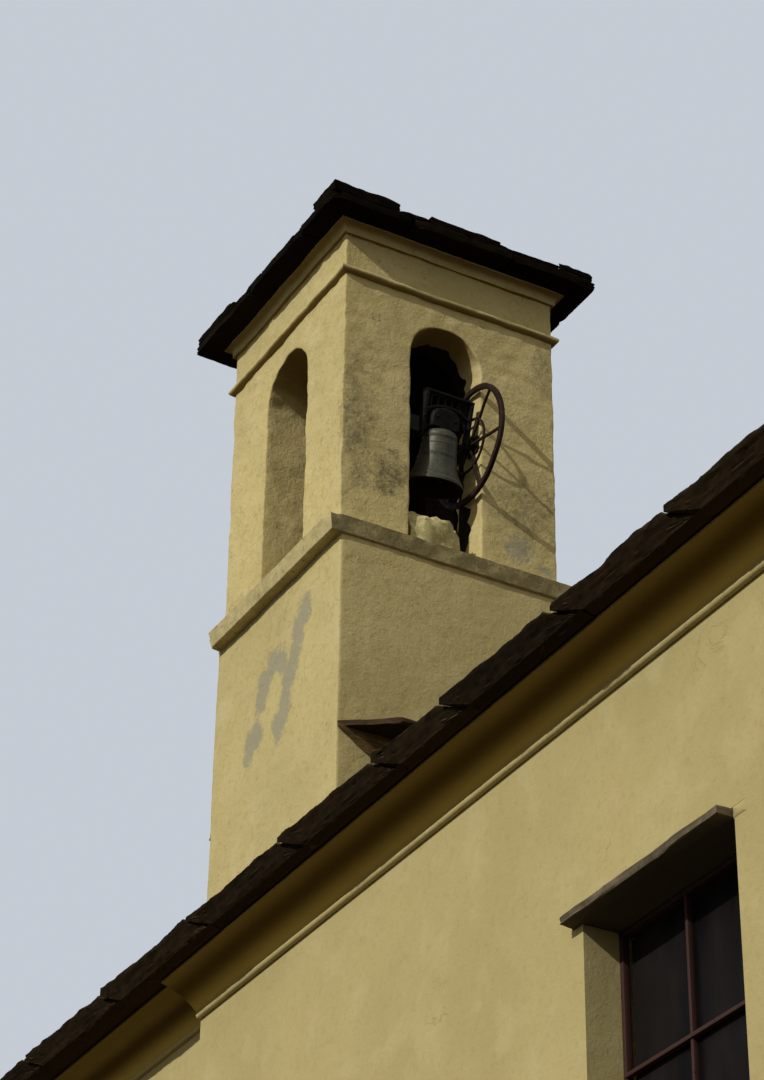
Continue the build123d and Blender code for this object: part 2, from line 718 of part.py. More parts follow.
def headstock():
    posts = [
        block(head_x0, head_x0 + HEADSTOCK_POST, y0, y1, post_low, top_z),
        block(head_x1 - HEADSTOCK_POST, head_x1, y0, y1, post_low, top_z),
    ]
    rail = block(head_x0, head_x1, y0, y1, top_z - RAIL, top_z)
    foot = yoke_z(head_x0)
    top = yoke_z(head_mid)
    outer_arc = ThreePointArc((head_x0, y0, foot), (head_mid, y0, top), (head_x1, y0, foot))
    inner_arc = ThreePointArc(
        (head_x0, y0, foot - HEADSTOCK_BAND),
        (head_mid, y0, top - HEADSTOCK_BAND),
        (head_x1, y0, foot - HEADSTOCK_BAND),
    )
    ends = [Line((x, y0, foot), (x, y0, foot - HEADSTOCK_BAND)) for x in (head_x0, head_x1)]
    curved = extrude(make_face([outer_arc, inner_arc, *ends]), amount=HEADSTOCK_THICK, dir=(0, 1, 0))
    solid = curved + posts[0] + posts[1] + rail
    clear = head_x1 - head_x0
    for k in range(1, HEADSTOCK_BARS + 1):
        x0 = head_x0 + clear * k / (HEADSTOCK_BARS + 1) - HEADSTOCK_BAR / 2
        x1 = x0 + HEADSTOCK_BAR
        foot_z = min(yoke_z(x0), yoke_z(x1)) - HEADSTOCK_BAND / 2
        solid += block(x0, x1, axle_y - HEADSTOCK_BAR, axle_y + HEADSTOCK_BAR, foot_z, top_z - RAIL / 2)
    grip_top = top - HEADSTOCK_BAND / 2
    grip = block(
        bell_x - SHOULDER_RADIUS,
        bell_x + SHOULDER_RADIUS,
        axle_y - CROWN_BLOCK_DEPTH / 2,
        axle_y + CROWN_BLOCK_DEPTH / 2,
        crown_z,
        grip_top,
    )
    grip_edges = grip.edges().filter_by(Axis.Y).group_by(Axis.Z)[-1]
    return solid + fillet(grip_edges, CROWN_BLOCK_ROUND)


def rod_x(x0, x1, radius):
    """A round bar along the axle line."""
    return Pos((x0 + x1) / 2, axle_y, axle_z) * Rot(0, 90, 0) * Cylinder(radius, x1 - x0)


journal_end = opening_x0 + JOURNAL_RADIUS / 2
journal = rod_x(journal_end, head_x0 + HEADSTOCK_POST / 2, JOURNAL_RADIUS)
save("headstock", leaning(headstock() + journal))


# Wheel with its hub, its spokes and an inner ring that braces them
def wheel():
    disc = Rot(0, 90, 0) * Cylinder(WHEEL_RADIUS, WHEEL_THICK)
    rim = disc - Rot(0, 90, 0) * Cylinder(WHEEL_RADIUS - WHEEL_RIM, 2 * WHEEL_THICK)
    spoke = Pos(0, 0, WHEEL_RADIUS / 2) * Box(SPOKE_THICK, SPOKE, WHEEL_RADIUS - WHEEL_RIM / 2)
    solid = rim
    for k in range(WHEEL_SPOKES):
        solid += Rot(FIRST_SPOKE + 360 / WHEEL_SPOKES * k, 0, 0) * spoke
    ring = Rot(0, 90, 0) * Cylinder(BRACE_RING_RADIUS, BRACE_RING_THICK)
    ring -= Rot(0, 90, 0) * Cylinder(BRACE_RING_RADIUS - SPOKE, WHEEL_THICK)
    solid += ring
    solid = Pos(wheel_x, axle_y, axle_z) * solid
    return solid + rod_x(hub_x0, hub_x1, HUB_RADIUS) + rod_x(hub_x1, opening_x1 - JOURNAL_GAP, JOURNAL_RADIUS)


save("bell_wheel", leaning(wheel()))

# Bearings on the jambs of the opening, bored for the journals
bearing_half = BEARING_SIDE / 2
bores = rod_x(opening_x0 - 1, opening_x1 + 1, JOURNAL_RADIUS + JOURNAL_CLEARANCE)


def bearing(x0, x1):
    return block(
        x0, x1, axle_y - bearing_half, axle_y + bearing_half, axle_z - bearing_half, axle_z + bearing_half
    )


bearings = [
    bearing(opening_x0, opening_x0 + LEFT_BEARING) - bores,
    bearing(opening_x1 - RIGHT_BEARING, opening_x1) - bores,
]
save("bell_bearings", Compound(children=bearings))

# Clapper: an eye under the crown, and a rod and ball that hang plumb from it
eye_drop = MOUTH_DROP - (BELL_HEIGHT - BELL_WALL - CLAPPER_EYE - CLAPPER_GAP)
lean_turn = math.radians(BELL_LEAN)
eye_y = axle_y + eye_drop * math.sin(lean_turn)
eye_z = axle_z - eye_drop * math.cos(lean_turn)
ball_z = eye_z - CLAPPER_LENGTH
clapper = Pos(bell_x, eye_y, eye_z) * Sphere(CLAPPER_EYE)
clapper += Pos(bell_x, eye_y, ball_z) * Sphere(CLAPPER_BALL)
clapper += Pos(bell_x, eye_y, (ball_z + eye_z) / 2) * Cylinder(CLAPPER_ROD, eye_z - ball_z)
clapper += Pos(bell_x, eye_y, ball_z - CLAPPER_BALL) * Cylinder(CLAPPER_TAIL, CLAPPER_BALL)
save("clapper", clapper)
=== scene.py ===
"""Small chapel with a bell turret: plaster, stone, slabs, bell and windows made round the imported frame."""

import functools
import json
import math

import bmesh
import bpy
import numpy as np
from bpy.props import FloatProperty, FloatVectorProperty, PointerProperty
from mathutils import Matrix, Vector


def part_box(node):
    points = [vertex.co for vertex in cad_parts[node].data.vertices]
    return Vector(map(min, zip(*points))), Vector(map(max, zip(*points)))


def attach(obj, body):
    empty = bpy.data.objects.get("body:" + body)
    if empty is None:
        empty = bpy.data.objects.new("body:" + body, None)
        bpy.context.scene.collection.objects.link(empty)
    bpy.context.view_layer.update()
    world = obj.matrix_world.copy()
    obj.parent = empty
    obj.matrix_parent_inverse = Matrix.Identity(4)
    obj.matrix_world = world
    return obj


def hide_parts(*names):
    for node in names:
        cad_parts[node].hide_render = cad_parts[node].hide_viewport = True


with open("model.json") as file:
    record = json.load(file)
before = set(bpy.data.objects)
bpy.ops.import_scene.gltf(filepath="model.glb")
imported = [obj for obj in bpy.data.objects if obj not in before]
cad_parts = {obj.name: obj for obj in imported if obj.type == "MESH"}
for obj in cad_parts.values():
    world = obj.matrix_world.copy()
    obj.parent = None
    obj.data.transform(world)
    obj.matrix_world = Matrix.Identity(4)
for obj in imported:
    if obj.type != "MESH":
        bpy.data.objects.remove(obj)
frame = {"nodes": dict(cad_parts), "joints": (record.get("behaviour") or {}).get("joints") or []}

bl_info = {
    "name": "Small chapel with a bell turret",
    "version": (1, 0, 0),
    "blender": (4, 5, 0),
    "location": "3D View > Sidebar > Chapel",
    "description": "Makes the visible surfaces of a small plastered chapel round its packed frame",
    "category": "Object",
}

for spare in ("Cube", "Light", "Camera"):
    if spare in bpy.data.objects:
        bpy.data.objects.remove(bpy.data.objects[spare])
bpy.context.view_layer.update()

# Places read from the frame, in metres


def span(*nodes):
    """Lowest and highest corner of several nodes together, as arrays."""
    boxes = [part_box(node) for node in nodes]
    low = np.min([box[0] for box in boxes], axis=0)
    high = np.max([box[1] for box in boxes], axis=0)
    return low, high


PIERS = ("front_left_pier", "front_right_pier", "rear_left_pier", "rear_right_pier")
ARCHES = ("front_arch", "rear_arch", "left_arch", "right_arch")
SHAFT_WALLS = ("shaft_front_wall", "shaft_rear_wall", "shaft_side_walls")
STAGE_LOW, STAGE_HIGH = span(*PIERS, *ARCHES)
SHAFT_LOW, SHAFT_HIGH = span(*SHAFT_WALLS)
OPENING_X = (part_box("front_left_pier")[1].x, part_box("front_right_pier")[0].x)
OPENING_Y = (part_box("front_left_pier")[1].y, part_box("rear_left_pier")[0].y)
SPRING_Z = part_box("front_left_pier")[1].z
STAGE_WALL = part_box("left_arch")[1].x - STAGE_LOW[0]
BAND_TOP = STAGE_LOW[2]
BAND_ARM_END = 2.375
BAND_LIFT = 0.075
ROOF_LOW, ROOF_HIGH = span("left_roof_slabs", "right_roof_slabs")
NAVE_LOW, NAVE_HIGH = span("left_wall", "right_wall", "front_wall")
CORNICE_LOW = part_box("left_cornice")[0].z
JOINT = frame["joints"][0]
AXLE = np.array(JOINT["pos_m"])
BELL_LEAN = math.radians(16)
PITCH = math.radians(22)


# Random fields; each sum of waves is divided by its usual peak

WAVES_PEAK = 1.7
ROUGH_PEAK = 1.6


def waves(points, size, seed, count=9):
    """Random field from about -1 to 1: added sine waves about size long, of random direction and phase."""
    draw = np.random.default_rng(seed)
    way = draw.normal(size=(3, count))
    way /= np.linalg.norm(way, axis=0)
    length = size * draw.uniform(0.65, 1.5, count)
    phase = draw.uniform(0, 2 * np.pi, count)
    field = np.sin(np.asarray(points) @ (way * 2 * np.pi / length) + phase)
    return field.sum(-1) / math.sqrt(count / 2) / WAVES_PEAK


def rough(points, size, seed, octaves=3):
    """Rugged field: each octave has half the length and half the height of the one before it."""
    field = 0.0
    for octave in range(octaves):
        field = field + waves(points, size / 2**octave, seed + 17 * octave) / 2**octave
    return field / ROUGH_PEAK


def wander(points, size, height, seed):
    """A random shift of each point in X, Y and Z, at most about height long."""
    shift = np.stack([waves(points, size, seed + 101 * axis) for axis in range(3)], axis=-1)
    return height * shift


# Meshes from grids of points


class Shell:
    """One grid of points or several like ones, with material numbers for faces and tones for points."""

    def __init__(self, points, close_u=False, close_v=False, material=0, tone=None):
        self.points = np.asarray(points, float)
        if self.points.ndim == 3:
            self.points = self.points[None]
        self.close_u = close_u
        self.close_v = close_v
        self.material = material
        self.tone = tone

    def quads(self):
        """Each cell as its four point numbers; a closed direction joins its last line to its first."""
        copies, nu, nv, _ = self.points.shape
        u = np.arange(nu if self.close_u else nu - 1)
        v = np.arange(nv if self.close_v else nv - 1)
        copy, u, v = np.meshgrid(np.arange(copies), u, v, indexing="ij")
        u_next = (u + 1) % nu
        v_next = (v + 1) % nv

        def number(a, b):
            return (copy * nu + a) * nv + b

        corners = ((u, v), (u_next, v), (u_next, v_next), (u, v_next))
        cells = np.stack([number(*corner) for corner in corners], axis=-1)
        material = np.broadcast_to(self.material, copy.shape)
        return cells.reshape(-1, 4), material.reshape(-1)

    def moved(self, change):
        """The same shell with change done to its points."""
        return Shell(change(self.points), self.close_u, self.close_v, self.material, self.tone)

    def tones(self):
        """One tone for each copy, spread over its points."""
        count = self.points.shape[1] * self.points.shape[2]
        tone = np.zeros(len(self.points)) if self.tone is None else np.asarray(self.tone)
        return np.repeat(tone, count)


def add(name, data):
    """A new object in the scene."""
    made = bpy.data.objects.new(name, data)
    bpy.context.scene.collection.objects.link(made)
    return made


def make_piece(name, shells, finish_names, stands_for=(), body="chapel", sharp=38):
    """One mesh of all the shells: holes closed, seams and poles merged, faces turned outwards."""
    points, cells, numbers, tones = [], [], [], []
    start = 0
    for shell in shells:
        quads, material = shell.quads()
        points.append(shell.points.reshape(-1, 3))
        cells.append(quads + start)
        numbers.append(material)
        tones.append(shell.tones())
        start += len(points[-1])
    points, cells, numbers, tones = (np.concatenate(part) for part in (points, cells, numbers, tones))
    mesh = bpy.data.meshes.new(name)
    mesh.vertices.add(len(points))
    mesh.vertices.foreach_set("co", points.astype(np.float32).ravel())
    mesh.loops.add(cells.size)
    mesh.loops.foreach_set("vertex_index", cells.astype(np.int32).ravel())
    mesh.polygons.add(len(cells))
    mesh.polygons.foreach_set("loop_start", np.arange(0, cells.size, 4, dtype=np.int32))
    mesh.polygons.foreach_set("material_index", numbers.astype(np.int32))
    mesh.attributes.new("tone", "FLOAT", "POINT").data.foreach_set("value", tones.astype(np.float32))
    mesh.update(calc_edges=True)
    close_up(mesh)
    made = finishes()
    for finish_name in finish_names:
        mesh.materials.append(made[finish_name])
    mesh.shade_smooth()
    mesh.set_sharp_from_angle(angle=math.radians(sharp))
    piece = add(name, mesh)
    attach(piece, body)
    if stands_for:
        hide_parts(*stands_for)


def close_up(mesh, distance=2e-5):
    """Points in one place become one, open loops get a face, and every closed shell faces outwards."""
    work = bmesh.new()
    work.from_mesh(mesh)
    bmesh.ops.remove_doubles(work, verts=work.verts, dist=distance)
    bmesh.ops.dissolve_degenerate(work, dist=distance / 4, edges=work.edges)
    rims = [edge for edge in work.edges if edge.is_boundary]
    if rims:
        lids = bmesh.ops.holes_fill(work, edges=rims, sides=0)["faces"]
        bmesh.ops.triangulate(work, faces=lids)
    bmesh.ops.recalc_face_normals(work, faces=work.faces)
    work.to_mesh(mesh)
    work.free()


def spaced(start, end, count, ends=1.0):
    """Numbers from start to end; ends above 1 crowds them near both ends."""
    t = np.linspace(0, 1, count)
    bunched = (1 - np.cos(np.pi * t)) / 2
    share = min(1.0, ends - 1.0)
    return start + (end - start) * (t * (1 - share) + bunched * share)


def round_plan(points, low, high, radius):
    """Rounds the four upright corners of a box: points in a corner square move onto its quarter circle."""
    centre = (np.asarray(low[:2]) + np.asarray(high[:2])) / 2
    half = (np.asarray(high[:2]) - np.asarray(low[:2])) / 2 - radius
    flat = points[..., :2] - centre
    past = np.abs(flat) - half
    corner = (past > 0).all(-1)
    length = np.linalg.norm(past, axis=-1)
    reach = past.max(-1)
    scale = np.where(corner & (length > 1e-9), reach / np.maximum(length, 1e-9), 1.0)
    moved = np.where(corner[..., None], np.sign(flat) * (half + past * scale[..., None]), flat)
    result = points.copy()
    result[..., :2] = moved + centre
    return result


# Shader trees


class Wire:
    """The value at an output socket; arithmetic with it adds Math nodes to the socket's tree."""

    def __init__(self, socket):
        self.socket = socket
        self.tree = socket.id_data

    def __add__(self, other):
        return sums("ADD", self, other)

    def __sub__(self, other):
        return sums("SUBTRACT", self, other)

    def __radd__(self, other):
        return sums("ADD", other, self)

    def __rsub__(self, other):
        return sums("SUBTRACT", other, self)

    def __mul__(self, other):
        return sums("MULTIPLY", self, other)

    def steps(self, low, high, start=0.0, end=1.0):
        """The value taken from low..high to start..end, smoothly and held at both ends."""
        inputs = {"Value": self, "From Min": low, "From Max": high, "To Min": start, "To Max": end}
        return put(self.tree, "ShaderNodeMapRange", inputs, interpolation_type="SMOOTHSTEP")

    def mix(self, first, second):
        """Two colours mixed: the first where this wire is 0, the second where it is 1."""
        return put(self.tree, "ShaderNodeMix", {0: self, 6: first, 7: second}, 2, data_type="RGBA")


def feed(value, socket):
    """A wire, number, vector or colour into an input socket."""
    if isinstance(value, Wire):
        socket.id_data.links.new(value.socket, socket)
    elif socket.type == "RGBA":
        socket.default_value = (*value[:3], 1.0)
    else:
        socket.default_value = value


def put(tree, kind, inputs=None, output=0, **settings):
    """A shader node with its inputs and settings; gives the wire at one of its outputs."""
    node = tree.nodes.new(kind)
    for name, value in settings.items():
        setattr(node, name, value)
    for name, value in (inputs or {}).items():
        feed(value, node.inputs[name])
    return Wire(node.outputs[output]) if node.outputs else None


def sums(operation, first, second=0.0, **settings):
    """One Math node; at least one of its two values is a wire."""
    tree = first.tree if isinstance(first, Wire) else second.tree
    return put(tree, "ShaderNodeMath", {0: first, 1: second}, operation=operation, **settings)


def cloud(vector, scale, detail=4.0, roughness=0.55, distortion=0.0):
    """Noise from 0 to 1 with features about 1 / scale metres across."""
    inputs = {"Vector": vector, "Scale": scale, "Detail": detail, "Roughness": roughness}
    return put(vector.tree, "ShaderNodeTexNoise", {**inputs, "Distortion": distortion})


def stretched(vector, *scale):
    """The vector with each axis scaled."""
    return put(vector.tree, "ShaderNodeMapping", {"Vector": vector, "Scale": scale})


def facing(place, axis):
    """How far the surface faces along an axis, from -1 to 1."""
    normal = put(place.tree, "ShaderNodeNewGeometry", output="Normal")
    return put(place.tree, "ShaderNodeSeparateXYZ", {0: normal}, axis)


def near(place, centre, radii):
    """1 at a centre, falling to 0 at an ellipsoid of those radii."""
    moved = put(place.tree, "ShaderNodeVectorMath", {0: place, 1: scaled(centre, -1)}, operation="ADD")
    share = tuple(1 / radius for radius in radii)
    inside = put(place.tree, "ShaderNodeVectorMath", {0: moved, 1: share}, operation="MULTIPLY")
    length = put(place.tree, "ShaderNodeVectorMath", {0: inside}, "Value", operation="LENGTH")
    return sums("SUBTRACT", 1.0, length, use_clamp=True)


def scaled(colour, *factors):
    """A colour or vector times one factor, or times one for each of its numbers."""
    factors = factors if len(factors) == 3 else factors * 3
    return tuple(part * factor for part, factor in zip(colour, factors))


def shared(name, **sockets):
    """Makes a function of wires a node group of that name, built at the first call and placed at each.

    Its first argument is the place, and sockets has the names and defaults of the others. The function gives
    its outputs by name. A call gives their wires.
    """

    def wrap(body):
        @functools.wraps(body)
        def placed(vector, *values):
            node = vector.tree.nodes.new("ShaderNodeGroup")
            node.node_tree = bpy.data.node_groups.get(name) or new_group(name, sockets, body)
            for socket, value in zip(node.inputs, (vector, *values)):
                feed(value, socket)
            wires = [Wire(socket) for socket in node.outputs]
            return wires if len(wires) > 1 else wires[0]

        return placed

    return wrap


def new_group(name, sockets, body):
    """The node group whose nodes body makes from the wires of its inputs."""
    tree = bpy.data.node_groups.new(name, "ShaderNodeTree")
    tree.interface.new_socket("Vector", in_out="INPUT", socket_type="NodeSocketVector")
    for socket, value in sockets.items():
        kind = "NodeSocketColor" if isinstance(value, tuple) else "NodeSocketFloat"
        tree.interface.new_socket(socket, in_out="INPUT", socket_type=kind).default_value = value
    given = tree.nodes.new("NodeGroupInput").outputs
    made = body(*(Wire(given[socket]) for socket in ("Vector", *sockets)))
    for socket, wire in made.items():
        tree.interface.new_socket(socket, in_out="OUTPUT", socket_type=wire.socket.bl_idname)
    sink = tree.nodes.new("NodeGroupOutput")
    for socket, wire in made.items():
        feed(wire, sink.inputs[socket])
    return tree


@shared("Specks", Density=26.0, Cover=0.5, Depth=0.003)
def specks(place, density, cover, depth):
    """Dark specks and short veins of dirt: crests of a fine rugged noise, where a slower noise is high."""
    spot = cloud(place, density, 5.0, 0.7, 0.3).steps(0.57, 0.66)
    field = cloud(place, 4.2, 6.0, 0.66, 0.3)
    low = 0.78 - cover * 0.5
    mask = spot * field.steps(low, low + 0.14)
    return {"Mask": mask, "Height": mask * (depth * -1.0)}


@shared("Trowelled", Depth=0.003)
def trowelled(place, depth):
    """Hand-laid plaster: broad swells of the trowel, ridges a fifth as wide, and sand a third of that."""
    swell = cloud(place, 5.0, 3.0, 0.5, 0.3)
    ridge = cloud(place, 24.0, 6.0, 0.68, 0.7)
    sand = cloud(place, 75.0, 4.0, 0.65)
    return {"Shade": ridge, "Swell": swell, "Height": (swell * 2.5 + ridge + sand * 0.5) * depth}


@shared("Cracks", Size=2.2)
def cracks(place, size):
    """Hair cracks: the line where a bent noise crosses its middle, broken by a slower noise."""
    off = sums("ABSOLUTE", cloud(place, size, 7.0, 0.6, 0.8) - 0.5)
    return {"Mask": off.steps(0.0, 0.006, 1.0, 0.0) * cloud(place, 1.3, 3.0).steps(0.54, 0.62)}


@shared("Grain", Size=12.0, Depth=0.004)
def grain(place, size, depth):
    """Uneven surface at two sizes: lumps of 1 / Size metres and sand of a sixth of that."""
    both = cloud(place, size, 6.0, 0.6) * 0.8 + cloud(place, size * 6.0, 4.0, 0.7) * 0.2
    return {"Shade": both, "Height": both * depth}


@shared("Blotches", Size=3.0, Cover=0.4, Softness=0.08)
def blotches(place, size, cover, softness):
    """Ragged patches: a broken noise of 1 / Size metres, above a level that falls as Cover grows."""
    low = 0.74 - cover * 0.5
    return {"Mask": cloud(place, size, 8.0, 0.68, 0.4).steps(low, low + softness)}


@shared("Rain streaks", Size=5.0)
def streaks(place, size):
    """Rain marks: noise drawn out eleven times in height."""
    return {"Mask": cloud(stretched(place, 1.0, 1.0, 0.09), size, 6.0, 0.6).steps(0.5, 0.72)}


@shared("Lichen", Density=14.0, Cover=0.5)
def lichen(place, density, cover):
    """Crusts: round spots of a ragged edge with a colour that turns from grey to ochre."""
    jitter = put(place.tree, "ShaderNodeTexNoise", {"Vector": place, "Scale": 21.0, "Detail": 5.0}, "Color")
    spread = {0: jitter, 1: (0.05, 0.05, 0.05), 2: place}
    bent = put(place.tree, "ShaderNodeVectorMath", spread, operation="MULTIPLY_ADD")
    cells = put(place.tree, "ShaderNodeTexVoronoi", {"Vector": bent, "Scale": density}, "Distance")
    low = 0.8 - cover * 0.6
    where = cloud(place, 1.7, 3.0).steps(low, low + 0.1)
    crust = cloud(place, 6.0).mix((0.34, 0.33, 0.27), (0.42, 0.34, 0.13))
    return {"Mask": cells.steps(0.3, 0.42, 1.0, 0.0) * where, "Crust": crust}


@shared("Rust", Dark=(0.02, 0.011, 0.008, 1.0), Bright=(0.11, 0.05, 0.03, 1.0))
def rust(place, dark, bright):
    """Scaling rust: brown with darker and brighter flakes, its height and its roughness."""
    flakes = cloud(place, 70.0, 7.0, 0.7)
    wide = cloud(place, 14.0, 4.0)
    shade = (wide.steps(0.52, 0.7) * 0.5).mix(flakes.steps(0.35, 0.68).mix(dark, bright), dark)
    return {"Color": shade, "Height": flakes * 0.0012, "Roughness": wide.steps(0.2, 0.8, 0.55, 0.9)}


def finish(build):
    """Makes a function a maker of materials, which makes the material of a name once.

    The function gets the object coordinates and gives the Principled shader's inputs, with Height in metres.
    """

    @functools.wraps(build)
    def made(name, *values, **more):
        if name in bpy.data.materials:
            return bpy.data.materials[name]
        material = bpy.data.materials.new(name)
        material.use_nodes = True
        tree = material.node_tree
        tree.nodes.clear()
        inputs = build(put(tree, "ShaderNodeTexCoord", output="Object"), *values, **more)
        height = inputs.pop("Height")
        if height:
            bump = {"Height": height, "Strength": 1.0, "Distance": 1.0}
            inputs["Normal"] = put(tree, "ShaderNodeBump", bump)
        put(tree, "ShaderNodeOutputMaterial", {"Surface": put(tree, "ShaderNodeBsdfPrincipled", inputs)})
        return material

    return made


def look(colour, roughness, height=None, specular=0.3, metallic=0.0):
    """Inputs of the Principled shader, and a height."""
    return {
        "Base Color": colour, "Roughness": roughness, "Specular IOR Level": specular, "Metallic": metallic,
        "Height": height,
    }


# Painted light and shade in a cove's hollow, in stripes upwards from its foot: where each begins and is
# full, and its factor on the wash; a warm stripe at the foot, the dark shade of the eave above it, and a
# dimmer band under the slabs
COVE_PAINTED_SHADE = (
    (0.02, 0.04, (1.1, 0.95, 0.5)), (0.036, 0.1, (0.21, 0.145, 0.045)), (0.106, 0.136, (0.52, 0.42, 0.24)),
)
# Factors on the wash: painted shade on surfaces that face down, and where it is worn off
UNDERSIDE_PAINTED_SHADE = (0.42, 0.32, 0.18)
WORN = (0.63, 0.69, 1.02)
# How much a slab's own tone changes its brightness
TONE_REACH = 0.35


@finish
def plaster(place, base, dirt, depth, patches=(), spots=(), cove=False):
    """Limewashed ochre plaster.

    dirt is a share from 0 to 1. The wash is worn to grey in patches and full of dark specks in spots. Each
    of these has a centre, radii and a strength. A cove gets painted shade of the eave in stripes along its
    hollow; elsewhere, surfaces that face down get painted shade.
    """
    shade, swell, height = trowelled(place, depth)
    wide = cloud(place, 0.9, 5.0, 0.6)
    warm = scaled(base, 0.9, 0.8, 0.6)
    colour = wide.steps(0.3, 0.7).mix(scaled(base, 0.92), scaled(base, 1.07))
    colour = shade.steps(0.42, 0.3, 0.0, 0.35).mix(colour, warm)
    colour = swell.steps(0.5, 0.7, 0.0, 0.5).mix(colour, scaled(base, 1.12, 1.14, 1.3))
    colour = (streaks(place, 4.0) * (0.1 + 0.3 * dirt)).mix(colour, warm)
    stain = blotches(place, 5.0, 0.08 + 0.4 * dirt, 0.2)
    colour = (stain * (0.1 + 0.5 * dirt)).mix(colour, scaled(base, 0.62, 0.64, 0.66))
    mottle = cloud(place, 26.0, 8.0, 0.78)
    colour = mottle.steps(0.5, 0.36, 0.0, 0.2 + dirt).mix(colour, scaled(base, 0.72, 0.66, 0.5))
    marked = specks(place, 48.0, 0.1 + 1.5 * dirt, 0.0008)[0] * 0.6
    for centre, radii, strength in spots:
        level = cloud(place, 7.0, 9.0, 0.78) + near(place, centre, radii) * 0.36
        fine = cloud(place, 42.0, 7.0, 0.8).steps(0.38, 0.62, 0.25, 1.0)
        marked = sums("MAXIMUM", marked, level.steps(0.62, 0.82, 0.0, strength) * fine)
    colour = marked.mix(colour, scaled(base, 0.3, 0.3, 0.36))
    split = cracks(place, 2.2)
    colour = (split * 0.55).mix(colour, warm)
    height = height + marked * -0.0015 - split * 0.001
    if patches:
        weights = [near(place, centre, radii) * strength for centre, radii, strength in patches]
        covered = functools.reduce(functools.partial(sums, "MAXIMUM"), weights)
        ragged = cloud(place, 13.0, 8.0, 0.75, 0.3) + covered * 0.5
        bare = ragged.steps(0.6, 0.8, 0.0, 0.95) * covered.steps(0.02, 0.1)
        colour = bare.mix(colour, scaled(base, *WORN))
        height = height - bare * 0.0015
    if cove:
        # Painted light and shade: stripes up the cove's hollow, darkest where the eave's shadow falls
        level = put(place.tree, "ShaderNodeSeparateXYZ", {0: place}, "Z")
        level = level - (CORNICE_LOW + 0.01) + wide * 0.02
        for low, high, painted_stripe in COVE_PAINTED_SHADE:
            colour = level.steps(low, high).mix(colour, scaled(base, *painted_stripe))
    else:
        # Painted shade: the wash is darker where the surface faces down
        colour = facing(place, "Z").steps(-0.85, -0.2, 0.85, 0.0).mix(colour, scaled(base, *UNDERSIDE_PAINTED_SHADE))
    return look(colour, 0.92, height, specular=0.12)


@finish
def rubble(place):
    """Near-black rubble and mortar: old masonry behind the broken plaster, and painted shade on the belfry's
    inner faces and inside the bell.
    """
    where = {"Vector": place, "Scale": 11.0}
    cells = put(place.tree, "ShaderNodeTexVoronoi", where, "Distance", feature="DISTANCE_TO_EDGE")
    shade, height = grain(place, 16.0, 0.012)
    colour = shade.mix((0.008, 0.006, 0.004), (0.03, 0.021, 0.012))
    colour = (cells.steps(0.02, 0.12, 1.0, 0.0) * 0.6).mix(colour, (0.012, 0.009, 0.006))
    return look(colour, 0.95, height, specular=0.05)


@finish
def pale_stone(place, base, cover):
    """Lime stone and its wash: stained, most on the door's side, speckled, with lichen on its upper edge."""
    shade, height = grain(place, 18.0, 0.008)
    fleck, pits = specks(place, 34.0, 0.8, 0.0008)
    colour = shade.steps(0.35, 0.65).mix(scaled(base, 0.85), scaled(base, 1.08))
    colour = (blotches(place, 6.0, 0.4, 0.2) * 0.6).mix(colour, scaled(base, 0.45))
    door_side = facing(place, "Y").steps(-0.8, -0.4, 0.8, 0.0)
    stain = cloud(place, 9.0, 8.0, 0.75).steps(0.36, 0.56)
    colour = (stain * door_side).mix(colour, scaled(base, 0.35))
    mask, crust = lichen(place, 22.0, cover)
    colour = (mask * facing(place, "Z").steps(0.1, 0.6, 0.2, 0.9)).mix(colour, crust)
    colour = (fleck * 0.6).mix(colour, scaled(base, 0.25))
    return look(colour, 0.93, height + pits, specular=0.12)


@finish
def slab_stone(place, base, cover, top, under):
    """Dark split stone in thin layers, each slab with its own tone.

    Where it faces up it is paler by the factor top and has lichen; its underside gets painted light and
    shade, the factor under, lighter or darker than the rest.
    """
    layers = cloud(stretched(place, 3.0, 3.0, 60.0), 1.0, 6.0, 0.65)
    shade, height = grain(place, 14.0, 0.005)
    colour = shade.steps(0.3, 0.7).mix(scaled(base, 0.6), scaled(base, 1.5))
    colour = layers.steps(0.4, 0.62, 0.0, 0.6).mix(colour, scaled(base, 0.45))
    up = facing(place, "Z")
    on_top = up.steps(0.25, 0.8)
    colour = (on_top * 0.8).mix(colour, scaled(scaled(base, top), 1.0, 1.15, 1.6))
    # Painted light and shade: undersides scaled by the factor under, above 1 for painted bounce light, below
    # 1 for painted shade
    colour = up.steps(-0.85, -0.5, 1.0, 0.0).mix(colour, scaled(base, under))
    tone = put(place.tree, "ShaderNodeAttribute", output="Fac", attribute_name="tone")
    toned = put(place.tree, "ShaderNodeHueSaturation", {"Color": colour, "Value": 1.0 + tone * TONE_REACH})
    mask, crust = lichen(place, 9.0, cover)
    colour = (mask * (on_top * 0.5)).mix(toned, crust)
    return look(colour, 0.9, height + layers * 0.003, specular=0.03)


@finish
def timber(place, base, *grain_scale):
    """Weathered boards; the grain is drawn out along the axis with the smallest scale."""
    lines = cloud(stretched(place, *grain_scale), 1.0, 7.0, 0.62, 0.6)
    colour = lines.steps(0.3, 0.7).mix(scaled(base, 0.5), scaled(base, 1.3))
    colour = cloud(place, 3.0, 4.0).steps(0.45, 0.7, 0.0, 0.4).mix(colour, scaled(base, 0.7))
    return look(colour, 0.8, lines * 0.002, specular=0.25)


@finish
def rusty_iron(place, dark, bright):
    """Old iron with its scale of rust."""
    colour, height, roughness = rust(place, dark, bright)
    return look(colour, roughness, height, specular=0.15)


